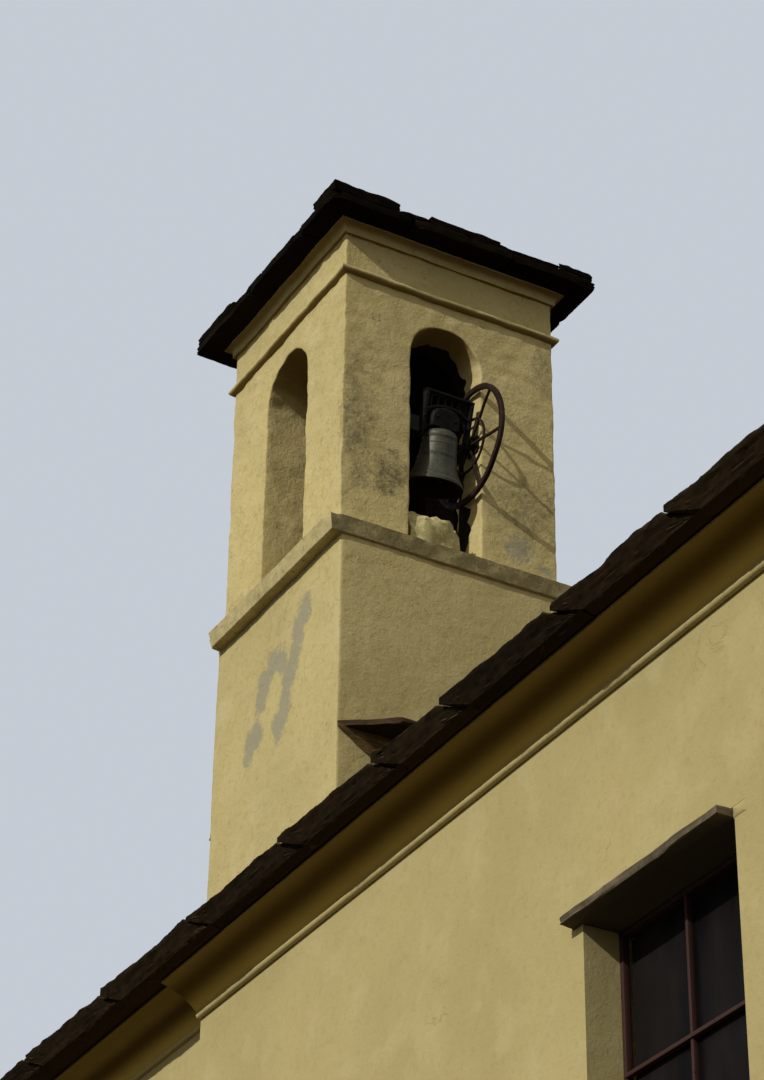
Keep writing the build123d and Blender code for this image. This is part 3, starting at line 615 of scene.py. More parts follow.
@finish
def bell_bronze(place):
    """Weathered bronze: brown-green, with darker runs down the waist."""
    fine = cloud(place, 120.0, 5.0, 0.7)
    colour = fine.steps(0.3, 0.7).mix((0.034, 0.032, 0.017), (0.085, 0.083, 0.047))
    colour = (streaks(place, 26.0) * 0.6).mix(colour, (0.028, 0.025, 0.017))
    colour = (blotches(place, 26.0, 0.5, 0.3) * 0.4).mix(colour, (0.068, 0.068, 0.047))
    return look(colour, fine.steps(0.2, 0.8, 0.42, 0.6), fine * 0.0004, specular=0.35, metallic=0.3)


@finish
def painted_frame(place):
    """Red-brown paint on old iron, worn to rust in patches."""
    scale, height, _ = rust(place, (0.012, 0.005, 0.004), (0.07, 0.028, 0.018))
    colour = blotches(place, 16.0, 0.42, 0.12).mix((0.045, 0.018, 0.013), scale)
    return look(colour, 0.7, height, specular=0.2)


@finish
def window_glass(place):
    """Old panes: near-black for the painted shade of the unlit room behind them, with upright streaks of
    dust and painted reflection.
    """
    dust_and_reflection = cloud(stretched(place, 1.0, 1.0, 0.3), 5.0, 5.0)
    # Painted reflection and dust: lighter upright streaks on the near-black painted shade of the room behind
    colour = dust_and_reflection.steps(0.35, 0.7).mix((0.004, 0.003, 0.003), (0.013, 0.01, 0.009))
    return look(colour, dust_and_reflection.steps(0.3, 0.7, 0.3, 0.5), specular=0.03)


@finish
def pale_ground(place):
    """Pale to the camera, darker to the light that it throws back."""
    seen = put(place.tree, "ShaderNodeLightPath", output="Is Camera Ray")
    return look(seen.mix((0.05, 0.045, 0.035), (0.62, 0.62, 0.61)), 0.95)


# Shapes: grids of points from outlines, paths and heights


def unit_ring(count, ends=1.0):
    """Points round the edge of the square from -1 to 1, count on each side with the corners among them."""
    side = spaced(-1, 1, count + 1, ends)[:-1]
    one = np.ones_like(side)
    return np.concatenate([side, one, -side, -one]), np.concatenate([-one, side, one, -side])


def dense(outline, step):
    """A closed outline with points put in, so that no two are further apart than step."""
    outline = np.asarray(outline, float)
    runs = []
    for start, end in zip(outline, np.roll(outline, -1, axis=0)):
        count = max(1, math.ceil(np.linalg.norm(end - start) / step))
        runs.append(start + (end - start) * np.linspace(0, 1, count, endpoint=False)[:, None])
    return np.concatenate(runs)


def arc(centre, radius, start, end, count):
    """Points on a circle from one angle to another, in degrees."""
    turn = np.radians(np.linspace(start, end, count))
    return np.stack([centre[0] + radius * np.cos(turn), centre[1] + radius * np.sin(turn)], -1)


def around(low, high, profile, count, ends=1.6):
    """A profile of (out, height) carried round a rectangle; out is how far a point is from its edge."""
    along_x, along_y = unit_ring(count, ends)
    out, height = np.asarray(profile, float).T
    centre = (np.asarray(low)[:2] + np.asarray(high)[:2]) / 2
    half = (np.asarray(high)[:2] - np.asarray(low)[:2]) / 2
    x = centre[0] + along_x[:, None] * (half[0] + out)
    y = centre[1] + along_y[:, None] * (half[1] + out)
    return np.stack([x, y, np.broadcast_to(height, x.shape)], -1)


def rounded(width, height, radius, corner=3):
    """Outline of a rectangle about 0 with rounded corners."""
    x, y = width / 2 - radius, height / 2 - radius
    parts = [
        arc((x * sx, y * sy), radius, start, start + 90, corner)
        for sx, sy, start in ((1, 1, 0), (-1, 1, 90), (-1, -1, 180), (1, -1, 270))
    ]
    return np.concatenate(parts)


def disc(radius, count=12):
    """Outline of a circle about 0."""
    return arc((0, 0), radius, 0, 360 * (1 - 1 / count), count)


def sweep(path, section, up, closed=False, material=0):
    """A closed section carried along a path, as a shell.

    At each path point the section lies across the path's direction, its second number towards up. Both ends
    of an open path are drawn together to a point in the middle of the section.
    """
    path = np.asarray(path, float)
    if closed:
        ahead = np.roll(path, -1, axis=0) - np.roll(path, 1, axis=0)
    else:
        ahead = np.gradient(path, axis=0)
    ahead /= np.linalg.norm(ahead, axis=1, keepdims=True)
    across = np.cross(ahead, np.broadcast_to(np.asarray(up, float), ahead.shape))
    across /= np.linalg.norm(across, axis=1, keepdims=True)
    rise = np.cross(across, ahead)
    section = np.asarray(section)
    grid = path[:, None] + across[:, None] * section[:, :1] + rise[:, None] * section[:, 1:]
    if closed:
        return Shell(grid, True, True, material)
    middle = np.broadcast_to(path[[0, -1], None], (2, len(section), 3))
    return Shell(np.concatenate([middle[:1], grid, middle[1:]]), close_v=True, material=material)


def bar(start, end, section, up, parts=1, material=0):
    """A straight bar as a shell, its section drawn in a little at both ends."""
    start, end = np.asarray(start, float), np.asarray(end, float)
    length = np.linalg.norm(end - start)
    lip = min(0.0015, length / 8)
    share = np.concatenate([[0], np.linspace(lip, length - lip, parts + 1), [length]]) / length
    body = start + (end - start) * share[:, None]
    shell = sweep(body, section, up, material=material)
    drawn_in = 1 - lip / np.abs(section).max()
    for row, middle in ((1, start), (-2, end)):
        shell.points[0, row] = middle + (shell.points[0, row] - middle) * drawn_in
    return shell


def lathe(profile, centre, axis, count=48, material=0):
    """A profile of (radius, distance along the axis) turned about the axis through centre, as a shell."""
    axis = np.asarray(axis, float)
    helper = np.array([0.0, 1.0, 0.0]) if abs(axis[1]) < 0.9 else np.array([1.0, 0.0, 0.0])
    first = np.cross(axis, helper)
    first /= np.linalg.norm(first)
    second = np.cross(axis, first)
    turn = np.linspace(0, 2 * np.pi, count, endpoint=False)
    ring = np.cos(turn)[:, None] * first + np.sin(turn)[:, None] * second
    radius, along = np.asarray(profile, float).T
    grid = np.asarray(centre) + ring[:, None] * radius[None, :, None] + axis * along[None, :, None]
    return Shell(grid, close_u=True, material=material)


def leaning(points, turn=BELL_LEAN):
    """Points turned about the axle line, so that what hangs below it moves towards +Y."""
    points = np.asarray(points, float)
    y, z = points[..., 1] - AXLE[1], points[..., 2] - AXLE[2]
    cos, sin = math.cos(turn), math.sin(turn)
    return np.stack([points[..., 0], AXLE[1] + y * cos - z * sin, AXLE[2] + y * sin + z * cos], -1)


# The rings that a slab's outline goes through, from the middle of its top to the middle of its underside:
# share of the way out, inset from the edge in millimetres, height as a share of the thickness
FINE_RINGS = (
    (0, 0, 0.5), (0.45, 0, 0.5), (0.8, 0, 0.5), (1, 20, 0.5), (1, 5, 0.49), (1, 0, 0.36), (1, 4, 0.12),
    (1, 1, -0.1), (1, 5, -0.3), (1, 3, -0.42), (1, 9, -0.5), (1, 26, -0.5), (0.8, 0, -0.5), (0.45, 0, -0.5),
    (0, 0, -0.5),
)
THIN_RINGS = (
    (0, 0, 0.5), (0.6, 0, 0.5), (1, 9, 0.5), (1, 2, 0.42), (1, 0, 0.15), (1, 2, -0.12), (1, 0, -0.36),
    (1, 7, -0.5), (0.6, 0, -0.5), (0, 0, -0.5),
)
BLOCK_RINGS = (
    (0, 0, 0.5), (0.5, 0, 0.5), (1, 26, 0.5), (1, 9, 0.47), (1, 0, 0.36), (1, 2, 0.12), (1, 0, -0.14),
    (1, 6, -0.36), (1, 22, -0.5), (0.5, 0, -0.5), (0, 0, -0.5),
)
PLAIN_RINGS = ((0, 0, 0.5), (1, 14, 0.5), (1, 2, 0.4), (1, 1, -0.1), (1, 7, -0.5), (0, 0, -0.5))


def slabs(centres, sizes, axes, seed, ragged=0.018, count=6, rings=PLAIN_RINGS, lumps=0.005):
    """Split stone slabs, one for each centre; sizes are length, width and thickness along its three axes.

    A slab's outline is a square edge drawn in by a random sum of waves round it and a chip at each corner.
    Each ring takes it further in, by its own waves, to its own height. Then random fields shift all points.
    """
    draw = np.random.default_rng(seed)
    centres, sizes, axes = (np.asarray(part, float) for part in (centres, sizes, axes))
    copies = len(centres)
    across, along = unit_ring(count)
    turn = np.arctan2(along, across)
    harmonics = np.arange(1, 14)
    phase = draw.uniform(0, 2 * np.pi, (copies, len(harmonics)))
    height = draw.uniform(0.3, 1.0, phase.shape) / harmonics**0.6
    wave = (height[..., None] * np.sin(harmonics[:, None] * turn + phase[..., None])).sum(1)
    wave = (wave - wave.min(-1, keepdims=True)) / np.ptp(wave, axis=-1, keepdims=True)
    chips = draw.uniform(0, 1, (copies, 4)) ** 4
    near_x, near_y = (np.clip(1 - (1 - np.abs(part)) * 4, 0, 1) for part in (across, along))
    corner = near_x * near_y
    quarter = (along > 0) * 2 + (across > 0)
    inset = ragged * (wave + 2.2 * corner * chips[:, quarter])
    share, step_in, level = np.array(rings, float).T
    ring_phase = draw.uniform(0, 2 * np.pi, (copies, len(rings), 1))
    ring_wave = 0.5 + 0.5 * np.sin(turn * 7 + 3 * np.sin(turn * 2 + ring_phase) + ring_phase)
    edge = inset[:, None] + step_in[:, None] / 1000 * (0.5 + ring_wave)
    x = across * (sizes[:, 0, None, None] / 2 - edge) * share[:, None]
    y = along * (sizes[:, 1, None, None] / 2 - edge) * share[:, None]
    z = np.broadcast_to(level[:, None] * sizes[:, 2, None, None], x.shape)
    local = np.stack([x, y, z], -1)
    points = centres[:, None, None] + np.einsum("nuvk,nkj->nuvj", local, axes)
    apart = points + 3.7 * np.arange(copies)[:, None, None, None]
    return points + wander(apart, 0.3, lumps, seed) + wander(apart, 0.06, lumps * 0.4, seed + 5)


def inside_box(points, low, high, margin=0.0005):
    """Points held inside a box."""
    return np.clip(points, np.asarray(low) + margin, np.asarray(high) - margin)


# Belfry walls: the arris round an opening, and how far out from the opening the points of the face lie

ARRIS = 0.009
FACE_SHARES = (0, 0.008, 0.016, 0.03, 0.06, *np.linspace(0.12, 0.97, 11), 1)
# Each wall's plaster edge in the opening: how deep it lies, how far the old masonry stands back from it
PLASTER_EDGES = {"front": (0.15, 0.024), "rear": (0.07, 0.01), "left": (0, 0), "right": (0.07, 0.01)}


def pierced(across, heights, wall, opening, spring, top_count, edge_depth, step_back):
    """One belfry wall round its arched opening: grids of (across, height), their depths, and flags for the
    dark finish of old masonry and painted shade.

    Lines run from the wall's outline to the opening: level to the jambs, and above the spring along the ray
    from the arch's middle. Each goes over the face, round the arris, into the opening as far as edge_depth,
    back by step_back into the old masonry, on to the inner face and out to the inner corner. The flags give
    the masonry and every row after it, the inner face too, the near-black finish of painted shade.
    """
    left, right = across
    low, high = opening
    centre, radius = (low + high) / 2, (high - low) / 2
    top = np.linspace(left, right, top_count + 2)[1:-1]
    outer_a = np.concatenate([np.full(len(heights), left), top, np.full(len(heights), right)])
    outer_z = np.concatenate([heights, np.full(top_count, heights[-1]), heights[::-1]])
    away = np.stack([outer_a - centre, np.maximum(outer_z - spring, 0)], -1)
    away[:, 0] = np.where(outer_z <= spring, np.sign(away[:, 0]), away[:, 0])
    away /= np.linalg.norm(away, axis=1, keepdims=True)
    inner = np.stack([centre + radius * away[:, 0], np.minimum(outer_z, spring) + radius * away[:, 1]], -1)
    outer = np.stack([outer_a, outer_z], -1)
    mid = (left + right) / 2
    share = (right - left - 2 * wall) / (right - left)
    inside = np.stack([mid + (outer_a - mid) * share, outer_z], -1)
    out_share = np.array(FACE_SHARES)[:, None, None]
    face = (outer * (1 - out_share) + (inner + away * ARRIS) * out_share, np.zeros(len(out_share)))
    bend = np.radians([22, 45, 67, 90])[:, None, None]
    turned = (inner + away * ARRIS * (1 - np.sin(bend)), ARRIS * (1 - np.cos(bend[:, 0, 0])))
    line = np.stack([inner[:, 0], inner[:, 1] * 0.9, 0 * outer_a], -1)
    ragged = np.full(len(outer_a), wall)
    if step_back:
        ragged = edge_depth * (1 + 0.42 * rough(line, 0.22, 31, 4))
    ragged = np.clip(ragged, ARRIS + 0.012, wall - 0.02)
    rows = []
    for plans, depths in (face, turned):
        rows += [(plan, np.full(len(outer_a), deep)) for plan, deep in zip(plans, depths)]
    for part in np.linspace(0.1, 1, 10):
        rows.append((inner, ARRIS + (ragged - ARRIS) * part))
    first_old = len(rows) - 1
    back = inner + away * step_back
    rows.append((back, ragged + 0.004))
    for part in np.linspace(0.2, 1, 5):
        rows.append((back, ragged + (wall - ragged) * part))
    if not step_back:
        first_old = len(rows) - 1
    for part in np.linspace(0.15, 1, 6):
        rows.append((back * (1 - part) + inside * part, np.full(len(outer_a), wall)))
    points = np.stack([plan for plan, _ in rows], 1)
    depth = np.stack([deep for _, deep in rows], 1)
    # old flags the masonry rows and every row after them, the inner face too: their near-black finish is
    # painted shade inside the belfry
    old = np.arange(len(rows) - 1) >= first_old
    lid = np.stack([points[:, 0], points[:, -1]], 1)[len(heights) - 1:len(heights) + top_count + 1]
    lid_depth = np.broadcast_to([0.0, wall], lid.shape[:2])
    return [(points, depth, old), (lid, lid_depth, np.array([False]))]


def belfry_walls():
    """The four pierced walls in their places, corners rounded, surface wavering by a few millimetres."""
    heights = np.linspace(BAND_TOP, STAGE_HIGH[2], 64)
    (x0, y0), (x1, y1) = STAGE_LOW[:2], STAGE_HIGH[:2]
    shells = []
    for side, edge in PLASTER_EDGES.items():
        across, opening = ((x0, x1), OPENING_X) if side in ("front", "rear") else ((y0, y1), OPENING_Y)
        for points, depth, old in pierced(across, heights, STAGE_WALL, opening, SPRING_Z, 30, *edge):
            run, z = points[..., 0], points[..., 1]
            grid = {
                "front": (run, y0 + depth, z), "rear": (run, y1 - depth, z),
                "left": (x0 + depth, run, z), "right": (x1 - depth, run, z),
            }[side]
            grid = round_plan(np.stack(grid, -1), (x0, y0), (x1, y1), 0.008)
            grid = grid + wander(grid, 0.35, 0.0018, 3) + wander(grid, 0.08, 0.0024, 4)
            grid[..., 2] = np.clip(grid[..., 2], BAND_TOP - 0.002, STAGE_HIGH[2])
            # Material 1 is the near-black rubble: painted shade on the opening's back and the belfry's inner
            # faces
            shells.append(Shell(grid, material=old.astype(int)[None, None]))
    return shells


# Turret, its mouldings and its roof

# Heights on the shaft: the plain wall ends, the plaster begins to waver, and the part under the roof ends
PLAIN_TOP = 7.2
WAVER_FROM = 7.35
WAVER_OVER = 0.3
UNDER_ROOF = 7.45
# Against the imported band, the band here stands out less and has a higher top
BAND_DRAWN_IN = 0.048
BAND_TOP_RISE = 0.06


def shaft_walls():
    """The shaft's four walls as one hollow square tube; it wavers only where it stands free of the roof."""
    (x0, y0), (x1, y1) = SHAFT_LOW[:2], SHAFT_HIGH[:2]
    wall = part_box("shaft_front_wall")[1].y - y0
    top = SHAFT_HIGH[2] + BAND_LIFT + 0.01
    heights = np.concatenate([np.linspace(0, PLAIN_TOP, 30)[:-1], np.linspace(PLAIN_TOP, top, 56)])
    profile = [(0, z) for z in heights] + [(-wall, z) for z in heights[::-6]]
    grid = around((x0, y0), (x1, y1), profile, 34, 1.9)
    free = np.clip((grid[..., 2:] - WAVER_FROM) / WAVER_OVER, 0, 1)
    rounded_corners = round_plan(grid, (x0, y0), (x1, y1), 0.009)
    grid = grid + (rounded_corners - grid) * free
    moved = grid + free * (wander(grid, 0.5, 0.002, 8) + wander(grid, 0.08, 0.0012, 9))
    moved[..., 2] = grid[..., 2]
    level = np.array([z for _, z in profile])
    under_roof = np.minimum(level, np.roll(level, -1)) < UNDER_ROOF
    return [Shell(moved, close_u=True, close_v=True, material=under_roof.astype(int)[None, None])]


def stone_band():
    """The plastered band: a square edge round the stage, worn at its top, ending short of the far corners.

    The ring's points that would stand out past the end of the arms are drawn back to the shaft's own faces.
    """
    low, high = span("stone_band")
    floor_low = span("belfry_floor")[0]
    proud = STAGE_LOW[0] - low[0] - BAND_DRAWN_IN
    inner = floor_low[0] - STAGE_LOW[0] + 0.03
    bottom, top = low[2] + BAND_LIFT, high[2] + BAND_TOP_RISE
    bed = high[2] - 0.002
    profile = dense([
        (-inner, bed), (-inner, bottom), (proud - 0.022, bottom), (proud - 0.018, bottom + 0.003),
        (proud, top - 0.004), (proud - 0.006, top - 0.001), (-0.02, top), (-0.02, bed),
    ], 0.012)
    (x0, y0), (x1, y1) = STAGE_LOW[:2] - (0.03, 0.012), STAGE_HIGH[:2]
    grid = around((x0, y0), (x1, y1), profile, 110, 1.2)
    past = grid[..., 1] > BAND_ARM_END
    kerb_x = np.clip(grid[..., 0], SHAFT_LOW[0], SHAFT_HIGH[0])
    kerb_y = np.clip(grid[..., 1], None, SHAFT_HIGH[1])
    grid[..., 0] = np.where(past, kerb_x, grid[..., 0])
    grid[..., 1] = np.where(past, kerb_y, grid[..., 1])
    hold = np.clip((profile[:, 0] - 0.02) / 0.05, 0, 1)[None, :, None] * ~past[..., None]
    upper = np.clip((grid[..., 2:] - bottom) / (top - bottom), 0, 1) ** 2
    chip = np.clip(rough(grid, 0.2, 15, 4) - 0.55, 0, 1)[..., None] * upper * (0.02, 0.02, 0.006)
    centre = (STAGE_LOW + STAGE_HIGH) / 2
    away = np.sign(grid - centre) * np.clip((np.abs(grid - centre) - 0.6) / 0.06, 0, 1)
    away[..., 2] = 1
    moved = grid + hold * (wander(grid, 0.35, 0.0015, 12) + wander(grid, 0.05, 0.001, 13) - chip * away)
    return [Shell(moved, close_u=True, close_v=True)]


def moulding(node, shape, count=60, swell=0.0025):
    """A moulding round the belfry stage; shape makes its profile from the node's reach, bottom and top."""
    low, high = span(node)
    profile = dense(shape(STAGE_LOW[0] - low[0], low[2], high[2]), 0.008)
    grid = around(STAGE_LOW[:2], STAGE_HIGH[:2], profile, count, 1.5)
    moved = grid + wander(grid, 0.3, swell, 21) + wander(grid, 0.06, swell * 0.45, 22)
    return [Shell(inside_box(moved, low - 0.004, high + 0.001), close_u=True, close_v=True)]


def bead(out, bottom, top):
    """Half round, its back 12 mm inside the wall."""
    middle, half = (top + bottom) / 2, (top - bottom) / 2
    turn = np.radians(np.linspace(-90, 90, 9))
    return [(-0.012, bottom), *zip(out * np.cos(turn), middle + half * np.sin(turn)), (-0.012, top)]


def cavetto(out, bottom, top):
    """A small square foot and a quarter hollow that ends in a lip."""
    foot = 0.3 * out
    turn = np.radians(np.linspace(0, 90, 8))
    start = bottom + 0.013
    x, z = foot + (out - foot) * (1 - np.cos(turn)), start + (top - 0.008 - start) * np.sin(turn)
    return [(-0.012, bottom), (foot, bottom), *zip(x, z), (out, top), (-0.012, top)]


def side_sills():
    """Sloping beds of masonry in the rear and side openings: a grid over the bed, with sides of its own."""
    high = span("belfry_sills")[1]
    shells = []
    inner = STAGE_WALL + 0.004
    y0, y1 = OPENING_Y[0] - 0.02, OPENING_Y[1] + 0.02
    places = (
        ((STAGE_LOW[0] - 0.002, y0), (STAGE_LOW[0] + inner, y1), 0),
        ((STAGE_HIGH[0] + 0.002, y0), (STAGE_HIGH[0] - inner, y1), 0),
        ((OPENING_X[0] - 0.02, STAGE_HIGH[1] + 0.002), (OPENING_X[1] + 0.02, STAGE_HIGH[1] - inner), 1),
    )
    slope = 0.05
    rise = high[2] - BAND_TOP - slope
    u = np.concatenate([[0, 0], np.linspace(0, 1, 18), [1, 1]])
    v = np.concatenate([[0, 0], np.linspace(0, 1, 14), [1, 1]])
    deep, wide = np.meshgrid(u, v, indexing="ij")
    for (xa, ya), (xb, yb), inward in places:
        across, along = (wide, deep) if inward else (deep, wide)
        x, y = xa + (xb - xa) * across, ya + (yb - ya) * along
        grid = np.stack([x, y, BAND_TOP + rise + slope * deep], -1)
        grid[2:-2, 2:-2] += wander(grid, 0.13, 0.006, 30 + inward)[2:-2, 2:-2]
        grid[..., 2] = np.minimum(grid[..., 2], high[2])
        rim = np.zeros(grid.shape[:2], bool)
        rim[[0, -1]] = rim[:, [0, -1]] = True
        grid[rim, 2] = BAND_TOP - 0.001
        # Material 1, the near-black rubble, is painted shade on the rear sill and the inner end of the side
        # sills
        masonry = inward + (np.arange(len(u) - 1) > len(u) - 4)[None, :, None]
        shells.append(Shell(grid, material=np.minimum(masonry, 1)))
    return shells


def boulders(centres, sizes, seed, lumps=0.012, turns=None, count=7):
    """Broken stones: slabs as thick as they are wide, with lumpy faces."""
    draw = np.random.default_rng(seed)
    turn = draw.uniform(-0.25, 0.25, len(centres)) if turns is None else np.radians(turns)
    cos, sin, zero, one = np.cos(turn), np.sin(turn), 0 * turn, 0 * turn + 1
    axes = np.stack([
        np.stack([cos, sin, zero], -1), np.stack([-sin, cos, zero], -1), np.stack([zero, zero, one], -1)
    ], 1)
    return slabs(centres, sizes, axes, seed, 0.02, count, BLOCK_RINGS, lumps)


def sill_stones():
    """The rough block under the bell and two loose stones beside it."""
    low, high = span("front_sill_block")
    block = boulders([tuple((low + high) / 2)], [tuple(high - low + 0.004)], 141, 0.016, [0], 20)
    beside = np.array([high[0], low[1], low[2]])
    places = [beside + (0.022, 0.12, 0.035), beside + (0.05, 0.2, 0.03)]
    loose = boulders(places, [(0.06, 0.09, 0.07), (0.07, 0.06, 0.06)], 142, 0.008)
    return [Shell(block, close_u=True), Shell(loose, close_u=True)]


# Where the joints of each course of the turret's roof run across and along, as shares of its size
TURRET_CUTS = (
    ((0, 0.3, 0.68, 1), (0, 0.22, 0.6, 1)), ((0, 0.34, 0.6, 1), (0, 0.3, 0.64, 1)),
    ((0, 0.4, 1), (0, 0.36, 0.7, 1)), ((0, 0.55, 1), (0, 0.45, 1)), ((0, 0.48, 1), (0, 0.52, 1)),
)
# The eave layer's thickness, and the slabs laid along its edge: their reach in X and in Y from the near left
# corner, as shares of the roof, how far back their edge stands, and how high their top is over that layer
EAVE_SPLIT = 0.047
EDGE_SLABS = (
    (0.0, 0.25, 0.0, 0.145, -0.006, 0.056), (0.25, 0.37, 0.0, 0.17, 0.004, 0.026),
    (0.37, 0.63, 0.0, 0.19, -0.002, 0.046), (0.63, 0.86, 0.0, 0.18, 0.003, 0.034),
    (0.86, 1.0, 0.0, 0.2, -0.006, 0.046), (0.0, 0.2, 0.2, 0.3, 0.03, 0.05),
    (0.0, 0.18, 0.3, 0.52, 0.01, 0.03), (0.0, 0.2, 0.52, 0.74, 0.012, 0.028),
    (0.0, 0.22, 0.74, 1.0, 0.002, 0.058), (0.22, 0.6, 0.8, 1.0, 0.004, 0.05),
    (0.6, 1.0, 0.78, 1.0, 0.002, 0.04), (0.8, 1.0, 0.2, 0.5, 0.006, 0.036),
    (0.78, 1.0, 0.5, 0.78, 0.0, 0.05),
)


def level_slabs(x_spans, y_spans, z_spans, seed, ragged, lumps, count=18, rings=FINE_RINGS):
    """Slabs laid almost level, each given by its span along X, Y and Z."""
    draw = np.random.default_rng(seed)
    spans = np.stack([x_spans, y_spans, z_spans], 1)
    tilt = draw.normal(0, 0.005, (len(spans), 2))
    axes = np.zeros((len(spans), 3, 3))
    axes[:, 0] = np.stack([0 * tilt[:, 0] + 1, 0 * tilt[:, 0], tilt[:, 0]], -1)
    axes[:, 1] = np.stack([0 * tilt[:, 0], 0 * tilt[:, 0] + 1, tilt[:, 1]], -1)
    axes[:, 2] = (0, 0, 1)
    return slabs(spans.mean(-1), np.diff(spans, axis=-1)[..., 0], axes, seed, ragged, count, rings, lumps)


def turret_slabs():
    """Level courses of big split slabs, each set back from the one below.

    The first course is the eave layer, and EDGE_SLABS lie on it round its four sides.
    """
    low, high = span("belfry_eave_slabs")
    top_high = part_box("belfry_roof_courses")[1].z
    box = (low, (high[0], high[1], top_high))
    thick = high[2] - low[2]
    set_back = span("belfry_roof_courses")[0][0] - low[0]
    centre, whole = (low + high) / 2, high - low
    ragged = 0.008 * raggedness()
    shells = []
    for course, (cuts_x, cuts_y) in enumerate(TURRET_CUTS):
        draw = np.random.default_rng(50 + course)
        size = whole[:2] - 2 * course * set_back
        x = centre[0] + size[0] * (np.array(cuts_x) - 0.5)
        y = centre[1] + size[1] * (np.array(cuts_y) - 0.5)
        column, row = (part.ravel() for part in np.meshgrid(np.arange(len(x) - 1), np.arange(len(y) - 1)))
        layer, most = (thick, 1.05) if course else (EAVE_SPLIT, 1.06)
        deep = layer * draw.uniform(0.9, most, len(row))
        bottom = low[2] + thick * course + 0 * deep
        x_spans = np.stack([x[column] - 0.005, x[column + 1] + 0.005], -1)
        y_spans = np.stack([y[row] - 0.005, y[row + 1] + 0.005], -1)
        z_spans = np.stack([bottom, bottom + deep], -1)
        grid = level_slabs(x_spans, y_spans, z_spans, 60 + course, ragged, 0.003)
        shells.append(Shell(inside_box(grid, *box), close_u=True, tone=draw.uniform(-1, 1, len(row))))
    x0, x1, y0, y1, back, rise = np.array(EDGE_SLABS).T
    x_spans = low[0] + whole[0] * np.stack([x0, x1], -1)
    y_spans = low[1] + whole[1] * np.stack([y0, y1], -1)
    for spans, axis in ((x_spans, 0), (y_spans, 1)):
        spans[:, 0] += np.where(spans[:, 0] < low[axis] + 0.01, back, -0.008)
        spans[:, 1] -= np.where(spans[:, 1] > high[axis] - 0.01, back, -0.008)
    bottom = low[2] + EAVE_SPLIT * 0.93 + 0 * rise
    z_spans = np.stack([bottom, low[2] + EAVE_SPLIT + rise], -1)
    grid = level_slabs(x_spans, y_spans, z_spans, 66, ragged, 0.003)
    outer = (low - (0.006, 0.006, 0), (high[0] + 0.006, high[1] + 0.006, top_high))
    tones = np.random.default_rng(67).uniform(-1, 1, len(rise))
    shells.append(Shell(inside_box(grid, *outer), close_u=True, tone=tones))
    cap_z = low[2] + len(TURRET_CUTS) * thick
    cap = boulders([(centre[0], centre[1], (cap_z + top_high) / 2)], [(0.4, 0.38, top_high - cap_z)], 71)
    shells.append(Shell(inside_box(cap, *box), close_u=True))
    return shells


# Nave roof


# Above the slope's plane: the top of the eave course's edge, of the other courses' edges, and of their backs
EAVE_EDGE = 0.145
SLAB_EDGE = 0.118
SLAB_BACK = 0.062
ROOF_COURSES = 10
SLABS_A_COURSE = 21
RIDGE_SLABS = 16
# The section of an eave slab: runs up the slope of its top and of its bed, and between them its edge, as
# shares of the height, with small steps in millimetres; EAVE_LIP is how far the edge hangs out at its foot
EAVE_LIP = -0.025
TOP_RUNS = (0.42, 0.31, 0.2, 0.12, 0.06, 0.03, 0.012, 0.004)
EDGE_SHARES = (0.99, 0.95, 0.86, 0.76, 0.66, 0.55, 0.44, 0.33, 0.22, 0.12, 0.05, 0)
EDGE_STEPS = (1, -1, 1, -1, 2, -2, 1, -1, 1, 0)
BED_RUNS = (-0.016, -0.007, 0.002, 0.03, 0.15, 0.42)
# How far two eave slabs lap, and where the photo shows their joints on the left side
LAP = 0.26
EAVE_JOINTS = (-1.98, -1.2, -0.38, 0.18, 1.0, 1.9, 2.85, 3.75)


def raggedness():
    """How unevenly the slabs are split, from the panel."""
    return bpy.context.scene.chapel_sizes.raggedness


def slope_frame(side):
    """The eave's lowest edge, and the slope's axes: along the ridge, down to the eave, out of the slope."""
    cos, sin = math.cos(PITCH), math.sin(PITCH)
    axes = np.array([[0, 1, 0], [side * cos, 0, -sin], [side * sin, 0, cos]])
    eave = np.array([side * (ROOF_HIGH[0] - EAVE_EDGE * sin), 0, ROOF_LOW[2]])
    return eave, axes


def in_roof(points):
    """Points held inside the box of the roof."""
    return inside_box(points, (-ROOF_HIGH[0], *ROOF_LOW[1:]), ROOF_HIGH)


def side_by_side(draw, start, end, count, narrow, wide):
    """Joints, middles and widths of slabs from start to end, their widths random between narrow and wide."""
    widths = draw.uniform(narrow, wide, count)
    edges = start + (end - start) * np.concatenate([[0], np.cumsum(widths) / widths.sum()])
    return edges, (edges[1:] + edges[:-1]) / 2, np.diff(edges)


